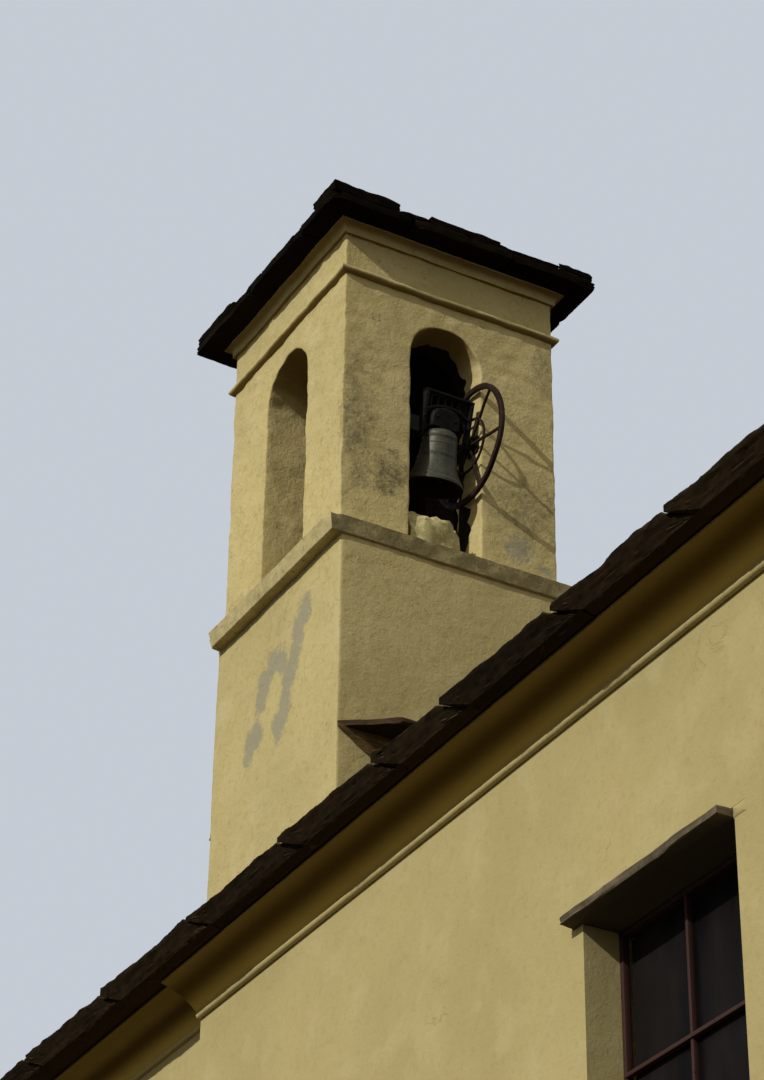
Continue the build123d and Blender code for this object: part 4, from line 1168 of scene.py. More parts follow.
def eave_slabs(side, seed):
    """The lowest course: long thick slabs laid shingled, the far end of each lapped over the next one.

    A slab is its section carried along the eave. A point of the section has a run up the slope and a share
    of the height, from 0 at the bed to 1 at the top. At the near end the top comes down to the bed along the
    slanting joint. At the far end the bed goes up towards the top along the next joint.
    """
    eave, axes = slope_frame(side)
    draw = np.random.default_rng(seed)
    y0, y1 = ROOF_LOW[1], ROOF_HIGH[1]
    if side < 0:
        joints = np.concatenate([np.arange(y0 + 0.75, EAVE_JOINTS[0] - 0.4, 0.86), EAVE_JOINTS, [4.55]])
    else:
        joints = np.arange(y0 + 0.8, y1 - 0.4, 0.84)
        joints = joints + draw.uniform(-0.12, 0.12, len(joints))
    share = np.array([1] * 6 + [*EDGE_SHARES] + [0] * 6)
    face = slice(len(TOP_RUNS), len(TOP_RUNS) + len(EDGE_STEPS))
    edge = EAVE_LIP * (1 - share[face]) + np.array(EDGE_STEPS) * 0.001
    run = np.concatenate([TOP_RUNS, edge, BED_RUNS])
    bed = np.interp(run, [EAVE_LIP, 0.002, 0.42], [0.036, 0.005, 0.002])
    top = 0.142 - (EAVE_EDGE - SLAB_BACK) / 0.31 * np.maximum(run, 0) + 0.018 * np.clip(1 - run / 0.2, 0, 1)
    starts = np.concatenate([[y0 + LAP / 2], joints])
    ends = np.concatenate([joints, [y1]])
    shells = []
    for number, (start, end) in enumerate(zip(starts, ends)):
        last = number == len(ends) - 1
        tip = 0 if last else draw.uniform(-0.06, -0.02)
        y = np.arange(start - LAP / 2, end + (0 if last else LAP / 2 + tip), 0.013)[:, None]
        near_end = 1 if number == 0 else np.clip((y - start) / LAP + 0.5, 0.02, 1)
        far_end = 0 * y if last else np.clip((y - end) / LAP + 0.5, 0, 1)
        lift = bed + (top - bed) * (far_end + (near_end - far_end) * share)
        stand = draw.uniform(0.0, 0.016) * np.clip((y - end + 0.3) / 0.4, 0, 1) ** 1.5 * (not last)
        lift = lift + stand * (0.1 + 0.9 * share)
        field = np.stack(np.broadcast_arrays(y + 9.1 * number, 5 * lift, 0.3 * run), -1)
        ripple = 0.003 * waves(field, 0.13, seed + 3) + 0.005 * waves(field, 0.5, seed + 4)
        ripple = ripple + 0.004 * rough(field, 0.09, seed + 7)
        lift = lift + ripple * share * np.clip(1 - run / 0.3, 0, 1) * raggedness()
        out = 0.004 + draw.uniform(0, 0.01) + 0.004 * waves(field, 0.3, seed + 5)
        out = out + 0.005 * rough(field, 0.08, seed + 6)
        shift = np.clip(1 - np.abs(run) / 0.1, 0, 1) * out + draw.normal(0, 0.004) * (y - y.mean())
        grid = eave + y[..., None] * axes[0] - (run + shift)[..., None] * axes[1] + lift[..., None] * axes[2]
        shells.append(Shell(in_roof(grid), close_v=True, tone=[draw.uniform(-1, 1)]))
    return shells


def slope_slabs(side, seed):
    """The courses above the eave: split slabs of random width, each with its foot on the one below."""
    eave, axes = slope_frame(side)
    count = SLABS_A_COURSE
    slope_length = (ROOF_HIGH[0] - EAVE_EDGE * math.sin(PITCH)) / math.cos(PITCH)
    step = slope_length / ROOF_COURSES
    fall = SLAB_EDGE - SLAB_BACK
    lean = math.atan2(fall, step)
    cos, sin = math.cos(lean), math.sin(lean)
    turned = np.array([axes[0], axes[1] * cos + axes[2] * sin, axes[2] * cos - axes[1] * sin])
    shells = []
    for course in range(1, ROOF_COURSES):
        draw = np.random.default_rng(seed + course)
        edges, middle, width = side_by_side(draw, ROOF_LOW[1], ROOF_HIGH[1], count, 0.6, 1.6)
        thick = fall * draw.uniform(0.82, 1.0, count)
        length = step + draw.uniform(0.05, 0.12, count)
        foot = course * step + draw.uniform(0.0, 0.03, count)
        lift = SLAB_EDGE - thick / 2 - length / 2 * sin - draw.uniform(0.0, 0.006, count)
        run = np.minimum(foot + length / 2 * cos, slope_length - length / 2 * cos + 0.03)
        centre = eave - run[:, None] * axes[1] + lift[:, None] * axes[2]
        centre[:, 1] = middle
        keep = np.ones(count, bool)
        if side < 0:
            within = (centre[:, 0] > SHAFT_LOW[0] + 0.1) & (centre[:, 0] < SHAFT_HIGH[0] - 0.1)
            keep = ~(within & (edges[:-1] > SHAFT_LOW[1] - 0.02) & (edges[1:] < SHAFT_HIGH[1] + 0.02))
        sizes = np.stack([width + 0.003, length, thick], -1)
        swing = draw.normal(0, 0.008, count)
        per = np.broadcast_to(turned, (count, 3, 3)).copy()
        per[:, 0] += swing[:, None] * turned[1]
        per[:, 1] -= swing[:, None] * turned[0]
        ragged = 0.012 * raggedness()
        grid = slabs(centre[keep], sizes[keep], per[keep], seed + 40 + course, ragged, lumps=0.003)
        shells.append(Shell(in_roof(grid), close_u=True, tone=draw.uniform(-1, 1, keep.sum())))
    return shells


def ridge_slabs():
    """Slabs in pairs over the ridge, leaning on the two slopes, each overlapping the next."""
    low, high = span("ridge_stones")
    draw = np.random.default_rng(90)
    count = RIDGE_SLABS
    shells = []
    for side in (-1, 1):
        _, axes = slope_frame(side)
        _, middle, width = side_by_side(draw, low[1], high[1], count, 0.8, 1.25)
        thick = draw.uniform(0.045, 0.055, count)
        reach = draw.uniform(0.25, 0.275, count)
        lift = 0.004 + thick / 2 + 0.006 * (np.arange(count) % 2)
        top = np.array([0, 0, high[2] - 0.06])
        centre = top + axes[1] * (reach / 2)[:, None] + axes[2] * lift[:, None]
        centre[:, 1] = middle
        sizes = np.stack([width + 0.01, reach, thick], -1)
        grid = slabs(centre, sizes, np.broadcast_to(axes, (count, 3, 3)), 92 + side, 0.02, 7, lumps=0.006)
        shells.append(Shell(inside_box(grid, low, high), close_u=True, tone=draw.uniform(-1, 1, count)))
    return shells


FLASHING_SLANT = 0.24
MORTAR_FALL = 0.7


def flashing_slabs():
    """A level slab let into the shaft over the roof, on its near and far faces, slanting at the outer end.

    Its section, a thin tongue with a broken edge, is carried across the shaft. The reach grows from nothing
    at the shaft's corner to the whole at the end of the slant. Below it old mortar clings to the wall, down
    to a line that falls by MORTAR_FALL of its length.
    """
    low, high = span("flashing_slabs")
    x = np.linspace(SHAFT_LOW[0] + 0.004, SHAFT_HIGH[0], 64)[:, None]
    reach_share = np.clip((x - SHAFT_LOW[0]) / FLASHING_SLANT, 0.02, 1)
    out = np.array([-0.05, 0.3, 0.7, 0.93, 0.985, 1, 0.99, 1, 0.985, 0.93, 0.7, 0.3, -0.05])
    level = np.array([1, 1, 1, 1, 0.95, 0.7, 0.5, 0.3, 0.08, 0, 0, 0, 0])
    shells = []
    for number, (edge, wall) in enumerate(((low[1], SHAFT_LOW[1]), (high[1], SHAFT_HIGH[1]))):
        field = np.stack(np.broadcast_arrays(x, out + 5.0 * number, level), -1)
        reach = (edge - wall) * reach_share * (0.975 + 0.025 * waves(field, 0.16, 111 + number))
        y = wall + out * reach
        z = low[2] + (high[2] - low[2]) * (level * (0.86 + 0.1 * waves(field, 0.4, 113)) + 0.03)
        grid = np.stack(np.broadcast_arrays(x, y, z), -1) + wander(field, 0.12, 0.0015, 115)
        shells.append(Shell(inside_box(grid, low, high), close_v=True, tone=[0.3]))
        share = np.array([0, 0, 0.25, 0.5, 0.75, 1, 1])
        fall = MORTAR_FALL * (x - SHAFT_LOW[0] + 0.01) * (1 - share)
        y = wall + np.copysign(1, edge - wall) * np.array([-0.02, 0.008, 0.015, 0.016, 0.018, 0.02, -0.02])
        bed = np.stack(np.broadcast_arrays(x, y, low[2] + 0.012 - fall), -1)
        shells.append(Shell(bed + wander(bed, 0.06, 0.004, 117), close_v=True, material=1))
    return shells


# Windows and door

# Size of a window, depth of its reveal, and how far its upright and cross bars are off the middle and thirds
WINDOW_SIZE = (0.97, 1.6)
WINDOW_REVEAL = 0.15
UPRIGHT_SHIFT = -0.055
CROSS_DROP = 0.036
NET_PITCH = 0.022
UP = np.array([0.0, 0, 1])
DOOR_BOARDS = 8
STRAP_END = 0.09


def wall_places():
    """Middle of the left, right and front window at the wall's face, with the ways along the wall and in."""
    low, high = span("window_frames")
    side_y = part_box("window_frames")[1].y - WINDOW_SIZE[0] / 2
    front = NAVE_LOW[1]
    middle = (low[2] + high[2]) / 2
    return (
        (np.array([-NAVE_HIGH[0], side_y, middle]), np.array([0.0, -1, 0]), np.array([1.0, 0, 0])),
        (np.array([NAVE_HIGH[0], side_y, middle]), np.array([0.0, 1, 0]), np.array([-1.0, 0, 0])),
        (np.array([0, front, middle]), np.array([1.0, 0, 0]), np.array([0.0, 1, 0])),
    )


def window_bars(place, along, inward):
    """Thin iron frame with one upright a little off the middle, two cross bars and two hinge pins."""
    half_w, half_h = WINDOW_SIZE[0] / 2, WINDOW_SIZE[1] / 2
    front = place + inward * (WINDOW_REVEAL + 0.02)

    def rod(start, end, section, parts=1, deep=0.0):
        ends = (front + along * a + UP * z + inward * deep for a, z in (start, end))
        return bar(*ends, section, inward, parts)

    flat = rounded(0.022, 0.03, 0.002)
    thin = rounded(0.016, 0.024, 0.0015)
    side, head = half_w - 0.012, half_h - 0.012
    rods = []
    for sign in (-1, 1):
        rods.append(rod((sign * side, -half_h), (sign * side, half_h), flat, 12))
        rods.append(rod((-half_w, sign * head), (half_w, sign * head), flat, 8))
        height = sign * WINDOW_SIZE[1] / 6 - CROSS_DROP
        rods.append(rod((-side, height), (side, height), thin, 8, -0.008))
        pin_x, pin_z = side - 0.004, sign * 0.72 * half_h
        rods.append(rod((pin_x, pin_z - 0.03), (pin_x, pin_z + 0.03), disc(0.006, 8), deep=-0.018))
    rods.append(rod((UPRIGHT_SHIFT, -head), (UPRIGHT_SHIFT, head), thin, 12))
    return rods


def wire_net(place, along, inward):
    """A net of straight thin wires behind the bars."""
    half_w, half_h = WINDOW_SIZE[0] / 2 - 0.04, WINDOW_SIZE[1] / 2 - 0.04
    back = place + inward * (WINDOW_REVEAL + 0.032)
    thread = disc(0.0011, 4)
    wires = []
    for way, half, other, reach in ((along, half_w, UP, half_h), (UP, half_h, along, half_w)):
        for shift in np.arange(-half + NET_PITCH / 2, half, NET_PITCH):
            middle = back + way * shift
            wires.append(sweep([middle - other * reach, middle + other * reach], thread, inward))
    return wires


def door_boards():
    """Upright boards of both leaves, and their iron: strap hinges, studs and a ring to pull."""
    low, high = span("door_leaves")
    width = high[0] - low[0]
    pitch = width / DOOR_BOARDS
    front = low[1]
    thick = high[1] - low[1]
    wood, iron = [], []
    for number in range(DOOR_BOARDS):
        x = low[0] + pitch * (number + 0.5)
        gap = 0.004 if number != DOOR_BOARDS // 2 - 1 else 0.006
        y = front + thick / 2 + 0.003 * (number % 2)
        section = rounded(pitch - gap, thick - 0.006, 0.004)
        wood.append(bar((x, y, low[2] + 0.002), (x, y, high[2] - 0.002), section, (0, 1, 0), 10))
    for side in (-1, 1):
        x_hinge = side * (width / 2 - 0.01)
        for z in (low[2] + 0.28, high[2] - 0.3):
            y = front - 0.003
            iron.append(bar((x_hinge, y, z), (side * STRAP_END, y, z), rounded(0.008, 0.044, 0.002), UP, 4))
            for share in np.linspace(0.12, 0.92, 5):
                x = x_hinge + (side * STRAP_END - x_hinge) * share
                stud = [(0, -0.006), (0.006, -0.005), (0.009, 0), (0.009, 0.004), (0, 0.004)]
                iron.append(lathe(stud, (x, front - 0.008, z), (0, 1, 0), 12))
    turn = np.linspace(0, 2 * np.pi, 28, endpoint=False)
    x, z = 0.06 + 0.04 * np.cos(turn), low[2] + 1.02 + 0.04 * np.sin(turn)
    ring = np.stack([x, 0 * turn + front - 0.016, z], -1)
    iron.append(sweep(ring, disc(0.006, 10), (0, 1, 0), closed=True))
    plate = [(0, -0.012), (0.014, -0.011), (0.02, -0.004), (0.024, 0.002), (0.024, 0.004), (0, 0.004)]
    iron.append(lathe(plate, (0.06, front - 0.006, low[2] + 1.06), (0, 1, 0), 20))
    return wood, iron


def lintel_stones():
    """Thin rough slabs over the windows and the door, their outer edge broken."""
    centres, sizes, axes = [], [], []
    slab_low, slab_high = span("lintel_slabs")
    for place, along, inward in wall_places():
        centres.append(place - along * 0.036 + inward * 0.124 + UP * (WINDOW_SIZE[1] / 2 + 0.021))
        sizes.append((1.038, 0.392, 0.038))
        axes.append([along, -inward, (0, 0, 1)])
    door_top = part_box("door_frame")[1].z
    centres.append((0, NAVE_LOW[1] + 0.124, door_top + 0.023))
    sizes.append((1.39, 0.392, 0.046))
    axes.append([(1, 0, 0), (0, -1, 0), (0, 0, 1)])
    grid = slabs(centres, sizes, axes, 131, 0.007, 30, THIN_RINGS, 0.002)
    stones = Shell(inside_box(grid, slab_low, slab_high), close_u=True, tone=[0.5, 0.2, -0.2, 0.1])
    fills = []
    section = rounded(0.078, 0.0452, 0.001)
    for place, along, inward in wall_places():
        end = place + along * 0.515 + inward * 0.16 + UP * (WINDOW_SIZE[1] / 2 + 0.0228)
        fills.append(bar(end - inward * 0.16, end + inward * 0.155, section, UP, 2, material=1))
    return [stones, *fills]


# Bell, headstock, wheel and clapper; all but the clapper are made upright and turned by the lean

# Places measured from the axle, sizes, counts, and the angle of the first spoke from straight up
MOUTH_DROP = 0.272
BELL_HEIGHT = 0.3
HEAD_LEFT = -0.122
WHEEL_PLACE = OPENING_X[1] - 0.028 - AXLE[0]
HEAD_RIGHT = WHEEL_PLACE - 0.014
HEAD_TOP = 0.222
HEAD_BARS = 6
YOKE_TOP = 0.16
YOKE_FALL = 0.048
WHEEL_RADIUS = 0.325
RIM_WIDTH = 0.029
INNER_RING = 0.143
SPOKES = 6
FIRST_SPOKE = 26
JOURNAL_RADIUS = 0.0138


def smooth_curve(points, step):
    """A curve through points, worked out as a Catmull-Rom spline at even shares."""
    points = np.asarray(points, float)
    ends = np.concatenate([[2 * points[0] - points[1]], points, [2 * points[-1] - points[-2]]])
    runs = []
    for a, b, c, d in zip(ends, ends[1:], ends[2:], ends[3:]):
        count = max(2, math.ceil(np.linalg.norm(c - b) / step))
        t = np.linspace(0, 1, count, endpoint=False)[:, None]
        square, cube = 2 * a - 5 * b + 4 * c - d, 3 * b - a - 3 * c + d
        runs.append(0.5 * (2 * b + (c - a) * t + square * t**2 + cube * t**3))
    return np.concatenate([*runs, points[-1:]])


# Raised rings of the bell: height over the mouth, how far each stands out, half its width
BELL_RINGS = (
    (0.0445, 0.003, 0.0045), (0.054, 0.0018, 0.002), (0.148, 0.0016, 0.002), (0.1545, 0.0028, 0.0028),
    (0.161, 0.0016, 0.002), (0.214, 0.0016, 0.0018), (0.2475, 0.0022, 0.0022), (0.2555, 0.003, 0.003),
)


def bell_shell():
    """The bell turned from one profile: waist, flare, thick lip, rings as rounded steps in the radius."""
    outside = smooth_curve([
        (0.1495, 0.012), (0.1475, 0.02), (0.139, 0.03), (0.1305, 0.043), (0.117, 0.072), (0.1065, 0.105),
        (0.0985, 0.14), (0.0935, 0.175), (0.0895, 0.215), (0.086, 0.25), (0.083, 0.268),
    ], 0.0022)
    for height, proud, half in BELL_RINGS:
        outside[:, 0] += proud / (1 + ((outside[:, 1] - height) / half) ** 6)
    shoulder = smooth_curve([
        (0.083, 0.268), (0.078, 0.281), (0.066, 0.291), (0.05, 0.2965), (0.03, 0.2985), (0, BELL_HEIGHT),
    ], 0.003)
    inside = smooth_curve([
        (0.071, 0.26), (0.08, 0.2), (0.085, 0.15), (0.0935, 0.105), (0.1085, 0.045), (0.134, 0.008),
        (0.138, 0.0015),
    ], 0.006)
    lip = arc((0.1435, 0.0065), 0.0066, -125, 40, 7)
    crown = [(0.06, 0.28), (0.04, 0.287), (0, 0.289)]
    profile = np.concatenate([crown[::-1], inside, lip, outside[1:], shoulder[1:]])
    mouth = (AXLE[0], AXLE[1], AXLE[2] - MOUTH_DROP)
    # Painted shade: the inside of the mouth and the crown get the near-black rubble finish
    painted_dark_inside = np.arange(len(profile) - 1) < len(crown) + len(inside) + 4
    return lathe(profile, mouth, (0, 0, 1), 112, painted_dark_inside.astype(int)[None, None]).moved(leaning)


def clapper_shells():
    """An eye under the crown, and a rod with a ball that hangs plumb and has a short tail."""
    low = span("clapper")[0]
    drop = MOUTH_DROP - 0.2757
    eye = leaning(np.array([AXLE[0], AXLE[1], AXLE[2] - drop]))
    ball = np.array([eye[0], eye[1], low[2] + 0.0245])
    length = eye[2] - ball[2]
    eye_ball = lathe(arc((0, 0), 0.0125, -90, 90, 9), eye, (0, 0, 1), 20)
    rod = [(0, 0), (0.0065, -0.001), (0.0055, -length * 0.5), (0.0075, -length * 0.85)]
    knob = [(0.02, 0.014), (0.0238, 0), (0.021, -0.012), (0.011, -0.021), (0, -0.024)]
    knob = [rod[-1]] + [(radius, height - length) for radius, height in knob]
    profile = np.concatenate([rod, smooth_curve(knob, 0.004)[1:]])
    return [eye_ball, lathe(profile, eye, (0, 0, 1), 24)]


def yoke_height(x):
    """Upper face of the curved band over the crown block: highest in the middle, falling by squares."""
    middle = (HEAD_LEFT + HEAD_RIGHT) / 2
    return YOKE_TOP - YOKE_FALL * ((x - middle) / (HEAD_RIGHT - middle)) ** 2


def headstock_shells():
    """End posts, top rail, six bars, curved band, block over the crown, bolts and the left journal."""
    def at(x, y, z):
        return np.array([AXLE[0] + x, AXLE[1] + y, AXLE[2] + z])

    shells = []
    post = rounded(0.02, 0.045, 0.004)
    posts = (HEAD_LEFT + 0.01, HEAD_RIGHT - 0.01)
    for x in posts:
        shells.append(bar(at(x, 0, -0.03), at(x, 0, HEAD_TOP - 0.004), post, (0, 1, 0), 14))
    rail = rounded(0.046, 0.014, 0.003)
    left, right = at(HEAD_LEFT, 0, HEAD_TOP - 0.007), at(HEAD_RIGHT, 0, HEAD_TOP - 0.007)
    shells.append(bar(left, right, rail, UP, 16))
    for number in range(1, HEAD_BARS + 1):
        x = HEAD_LEFT + (HEAD_RIGHT - HEAD_LEFT) * number / (HEAD_BARS + 1)
        foot, head = at(x, 0, yoke_height(x) - 0.006), at(x, 0, HEAD_TOP - 0.009)
        shells.append(bar(foot, head, rounded(0.009, 0.018, 0.0025), (0, 1, 0), 4))
    x = np.linspace(HEAD_LEFT + 0.003, HEAD_RIGHT - 0.003, 26)
    band = np.stack([AXLE[0] + x, 0 * x + AXLE[1], AXLE[2] + yoke_height(x) - 0.008], -1)
    shells.append(sweep(band, rounded(0.046, 0.015, 0.004), (0, 0, 1)))
    crown = BELL_HEIGHT - MOUTH_DROP
    block = (
        (0.0, 0.0), (0.05, 0.001), (0.08, 0.006), (0.084, 0.02), (0.083, 0.06), (0.076, 0.085), (0.06, 0.1),
        (0.04, 0.108), (0, 0.118),
    )
    grid = lathe(block, at(0, 0, crown), (0, 0, 1), 48).points
    grid[..., 1] = np.clip(grid[..., 1], AXLE[1] - 0.042, AXLE[1] + 0.042)
    shells.append(Shell(grid, close_u=True))
    bolt = [(0, -0.006), (0.006, -0.0058), (0.0075, -0.003), (0.0075, 0.004), (0, 0.004)]
    for x in (-0.05, 0.05):
        for side in (-1, 1):
            shells.append(lathe(bolt, at(x, side * 0.043, crown + 0.055), (0, -side, 0), 6))
    for x in posts:
        for z in (0.075, 0.19):
            shells.append(lathe(bolt, at(x, -0.0235, z), (0, 1, 0), 6))
    journal = OPENING_X[0] + 0.007 - AXLE[0]
    root = HEAD_LEFT + 0.005
    radius = JOURNAL_RADIUS
    stub = [(0, journal), (radius - 0.0013, journal), (radius, journal + 0.002), (radius, root), (0, root)]
    shells.append(lathe(stub, at(0, 0, 0), (1, 0, 0), 24))
    return [shell.moved(leaning) for shell in shells]


def wheel_shells():
    """Rim of flat iron, six spokes with rivets, a ring that braces them, and the hub with its journal."""
    def at(x, turn, radius):
        return np.stack([
            AXLE[0] + x + 0 * radius, AXLE[1] + radius * np.cos(turn), AXLE[2] + radius * np.sin(turn)
        ], -1)

    turn = np.linspace(0, 2 * np.pi, 144, endpoint=False)
    rim_radius = WHEEL_RADIUS - RIM_WIDTH / 2
    rim = at(WHEEL_PLACE, turn, 0 * turn + rim_radius)
    rim_wave = rim + wander(rim, 0.2, 0.0016, 151)
    shells = [sweep(rim_wave, rounded(RIM_WIDTH, 0.021, 0.004), (1, 0, 0), closed=True, material=1)]
    inner_turn = turn[::2]
    inner = at(WHEEL_PLACE, inner_turn, 0 * inner_turn + INNER_RING)
    shells.append(sweep(inner, rounded(0.012, 0.0115, 0.003), (1, 0, 0), closed=True, material=1))
    for number in range(SPOKES):
        angle = math.radians(90 + FIRST_SPOKE + 360 / SPOKES * number)
        radius = np.linspace(0.025, WHEEL_RADIUS - 0.022, 18)
        path = at(WHEEL_PLACE + 0 * radius, angle + 0 * radius, radius)
        path = path + wander(path, 0.18, 0.0016, 155)
        shells.append(sweep(path, rounded(0.0135, 0.013, 0.003), (1, 0, 0), material=1))
        for radial, size in ((rim_radius, 0.0065), (INNER_RING, 0.0055)):
            head = [(0, -0.0105), (size, -0.0095), (size, -0.004), (0, -0.004)]
            shells.append(lathe(head, at(WHEEL_PLACE, angle, np.array(radial)), (1, 0, 0), 8))
    hub_low, hub_high = WHEEL_PLACE - 0.0138, OPENING_X[1] - 0.0152 - AXLE[0]
    journal = OPENING_X[1] - 0.003 - AXLE[0]
    hub = [
        (0, hub_low), (0.028, hub_low), (0.033, hub_low + 0.003), (0.034, hub_low + 0.009),
        (0.033, hub_high - 0.003), (0.029, hub_high), (0.014, hub_high), (JOURNAL_RADIUS, journal),
        (0, journal),
    ]
    shells.append(lathe(hub, AXLE, (1, 0, 0), 40))
    return [shell.moved(leaning) for shell in shells]


# Worn patches on the shaft's left face, as y, z; stains on the belfry's front, as x, z, radii and strength
SHAFT_PATCHES = (
    (1.47, 9.0), (1.53, 8.92), (1.56, 8.82), (1.61, 8.72), (1.65, 8.6), (1.7, 8.51), (1.69, 8.86),
    (1.79, 8.87), (1.87, 8.8), (1.9, 8.74), (1.93, 8.57), (2.0, 8.53),
)
FRONT_SPOTS = (
    (-2.55, 9.95, (0.2, 0.1, 0.75), 0.8), (-2.4, 9.68, (0.22, 0.1, 0.26), 1.0),
    (-1.6, 9.75, (0.34, 0.1, 0.38), 0.7), (-1.5, 10.6, (0.14, 0.1, 0.3), 0.6),
)
# The photographer's place in metres; turn, tilt and roll in radians; lens and sensor in millimetres
CAMERA_PLACE = (-8.127, -9.274, 1.6)
CAMERA_TURN = (0.50126, 0.57521, 0.01413)
LENS = 100.15
SENSOR = 36


# Sizes and colours that a user may change


class ChapelSizes(bpy.types.PropertyGroup):
    """Sizes of the hand-made surfaces."""

    raggedness: FloatProperty(
        name="Slab raggedness", description="How unevenly the roof slabs are split, as a share of the usual",
        default=1.0, min=0.0, max=2.0, subtype="FACTOR",
    )
    relief: FloatProperty(
        name="Plaster relief", description="Height of the lumps in the plaster",
        default=0.003, min=0.0, max=0.02, unit="LENGTH",
    )
    floor_reach: FloatProperty(
        name="Floor reach", description="Half the width of the ground",
        default=400.0, min=20.0, unit="LENGTH",
    )


def colour_property(name, description, value):
    """A colour that the panel shows with its own name."""
    return FloatVectorProperty(
        name=name, description=description, default=value, size=3, min=0.0, max=1.0, subtype="COLOR"
    )


class ChapelColours(bpy.types.PropertyGroup):
    """Linear colours of the finishes."""

    nave: colour_property("Nave plaster", "Limewash of the nave and choir", (0.43, 0.35, 0.15))
    turret: colour_property("Turret plaster", "Limewash of the turret", (0.52, 0.425, 0.185))
    band: colour_property("Stone band", "Lime stone of the band and sills", (0.5, 0.41, 0.19))
    slab: colour_property("Roof slabs", "Split stone of the roofs", (0.0125, 0.0075, 0.0028))
    boards: colour_property("Boards", "Timber of the roof and door", (0.09, 0.055, 0.03))
    backdrop: colour_property("Backdrop", "Background behind the chapel", (0.56, 0.6, 0.66))


def finishes():
    """The materials of the chapel, made once and kept under their names."""
    colours = bpy.context.scene.chapel_colours
    relief = bpy.context.scene.chapel_sizes.relief
    nave, turret, slab = tuple(colours.nave), tuple(colours.turret), tuple(colours.slab)
    left, front = SHAFT_LOW[0], STAGE_LOW[1]
    shaft_patches = [((left, y, z), (0.3, 0.1, 0.14), 1.0) for y, z in SHAFT_PATCHES]
    front_patches = [
        ((-1.65, front, 9.5), (0.12, 0.3, 0.12), 0.9), ((-1.5, front, 9.42), (0.08, 0.3, 0.05), 0.8),
    ]
    front_spots = [((x, front, z), radii, strength) for x, z, radii, strength in FRONT_SPOTS]
    return {
        "nave": plaster("nave plaster", nave, 0.06, relief * 0.7),
        "cove": plaster("cove plaster", nave, 0.25, relief * 0.6, cove=True),
        "belfry": plaster("belfry plaster", turret, 0.32, relief * 1.9, front_patches, front_spots),
        "shaft": plaster("shaft plaster", scaled(turret, 0.93), 0.24, relief * 1.25, shaft_patches),
        "moulding": plaster("moulding plaster", turret, 0.3, relief),
        # Near-black rubble: old masonry, with painted shade inside the belfry and inside the bell
        "old": rubble("old masonry"),
        "soot": rubble("soot inside the bell"),
        "band": pale_stone("band stone", tuple(colours.band), 0.5),
        "sill": pale_stone("sill stone", (0.74, 0.64, 0.29), 0.3),
        "floor": pale_stone("floor stone", (0.2, 0.18, 0.14), 0.1),
        # Each slab stone's last number is its underside factor: painted light and shade on undersides
        "slab": slab_stone("roof slabs", slab, 0.22, 5.0, 2.0),
        "turret slab": slab_stone("turret roof slabs", scaled(slab, 0.5), 0.22, 9.0, 1.6),
        "flashing": slab_stone("flashing slabs", (0.06, 0.038, 0.019), 0.2, 1.5, 0.7),
        "mortar": slab_stone("old mortar", (0.14, 0.09, 0.036), 0.1, 1.0, 1.0),
        "lintel": slab_stone("lintel slabs", (0.1, 0.078, 0.048), 0.15, 1.3, 0.85),
        "boards": timber("roof boards", tuple(colours.boards), 40.0, 3.0, 3.0),
        "door": timber("door boards", (0.12, 0.062, 0.032), 40.0, 40.0, 2.0),
        "iron": rusty_iron("headstock iron", (0.003, 0.0025, 0.002), (0.012, 0.009, 0.006)),
        "wheel": rusty_iron("wheel iron", (0.009, 0.004, 0.0022), (0.04, 0.016, 0.008)),
        "net": rusty_iron("net wire", (0.03, 0.022, 0.017), (0.09, 0.07, 0.055)),
        "bronze": bell_bronze("bell bronze"),
        "paint": painted_frame("window paint"),
        "glass": window_glass("window glass"),
    }


CARRIED_OVER = {
    "nave": (
        "left_wall", "right_wall", "front_wall", "choir_left_wall", "choir_right_wall", "choir_end_wall",
    ),
    "cove": ("left_cornice", "right_cornice", "choir_left_cornice", "choir_right_cornice"),
    "floor": ("nave_floor", "door_step", "belfry_floor"),
    "boards": ("left_roof_boards", "right_roof_boards", "ridge_beam", "door_frame"),
    "iron": ("bell_bearings",),
    "glass": ("window_panes",),
}


class Maker:
    """An operator that makes its pieces in one go."""

    def execute(self, context):
        self.make(context.scene)
        return {"FINISHED"}


class CHAPEL_OT_walls(Maker, bpy.types.Operator):
    """Give the walls, cornices, floors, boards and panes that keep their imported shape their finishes."""

    bl_idname = "chapel.walls"
    bl_label = "Walls and cornices"

    def make(self, scene):
        made = finishes()
        for finish_name, nodes in CARRIED_OVER.items():
            for node in nodes:
                materials = frame["nodes"][node].data.materials
                materials.clear()
                materials.append(made[finish_name])


class CHAPEL_OT_turret(Maker, bpy.types.Operator):
    """Make the shaft, the band, the pierced belfry walls, the mouldings and the sills."""

    bl_idname = "chapel.turret"
    bl_label = "Bell turret"

    def make(self, scene):
        make_piece("turret_shaft", shaft_walls(), ("shaft", "nave"), SHAFT_WALLS)
        make_piece("band_of_stones", stone_band(), ("band",), ("stone_band",), sharp=28)
        make_piece("belfry_walls", belfry_walls(), ("belfry", "old"), PIERS + ARCHES)
        string, cornice = moulding("string_course", bead), moulding("belfry_cornice", cavetto)
        make_piece("belfry_bead", string, ("moulding",), ("string_course",))
        make_piece("belfry_cove", cornice, ("moulding",), ("belfry_cornice",))
        make_piece("opening_sills", side_sills(), ("belfry", "old"), ("belfry_sills",))
        make_piece("sill_stone", sill_stones(), ("sill",), ("front_sill_block",))


class CHAPEL_OT_turret_roof(Maker, bpy.types.Operator):
    """Make the split slabs of the turret's roof."""

    bl_idname = "chapel.turret_roof"
    bl_label = "Turret roof"

    def make(self, scene):
        stands_for = ("belfry_eave_slabs", "belfry_roof_courses")
        make_piece("turret_slabs", turret_slabs(), ("turret slab",), stands_for, sharp=50)


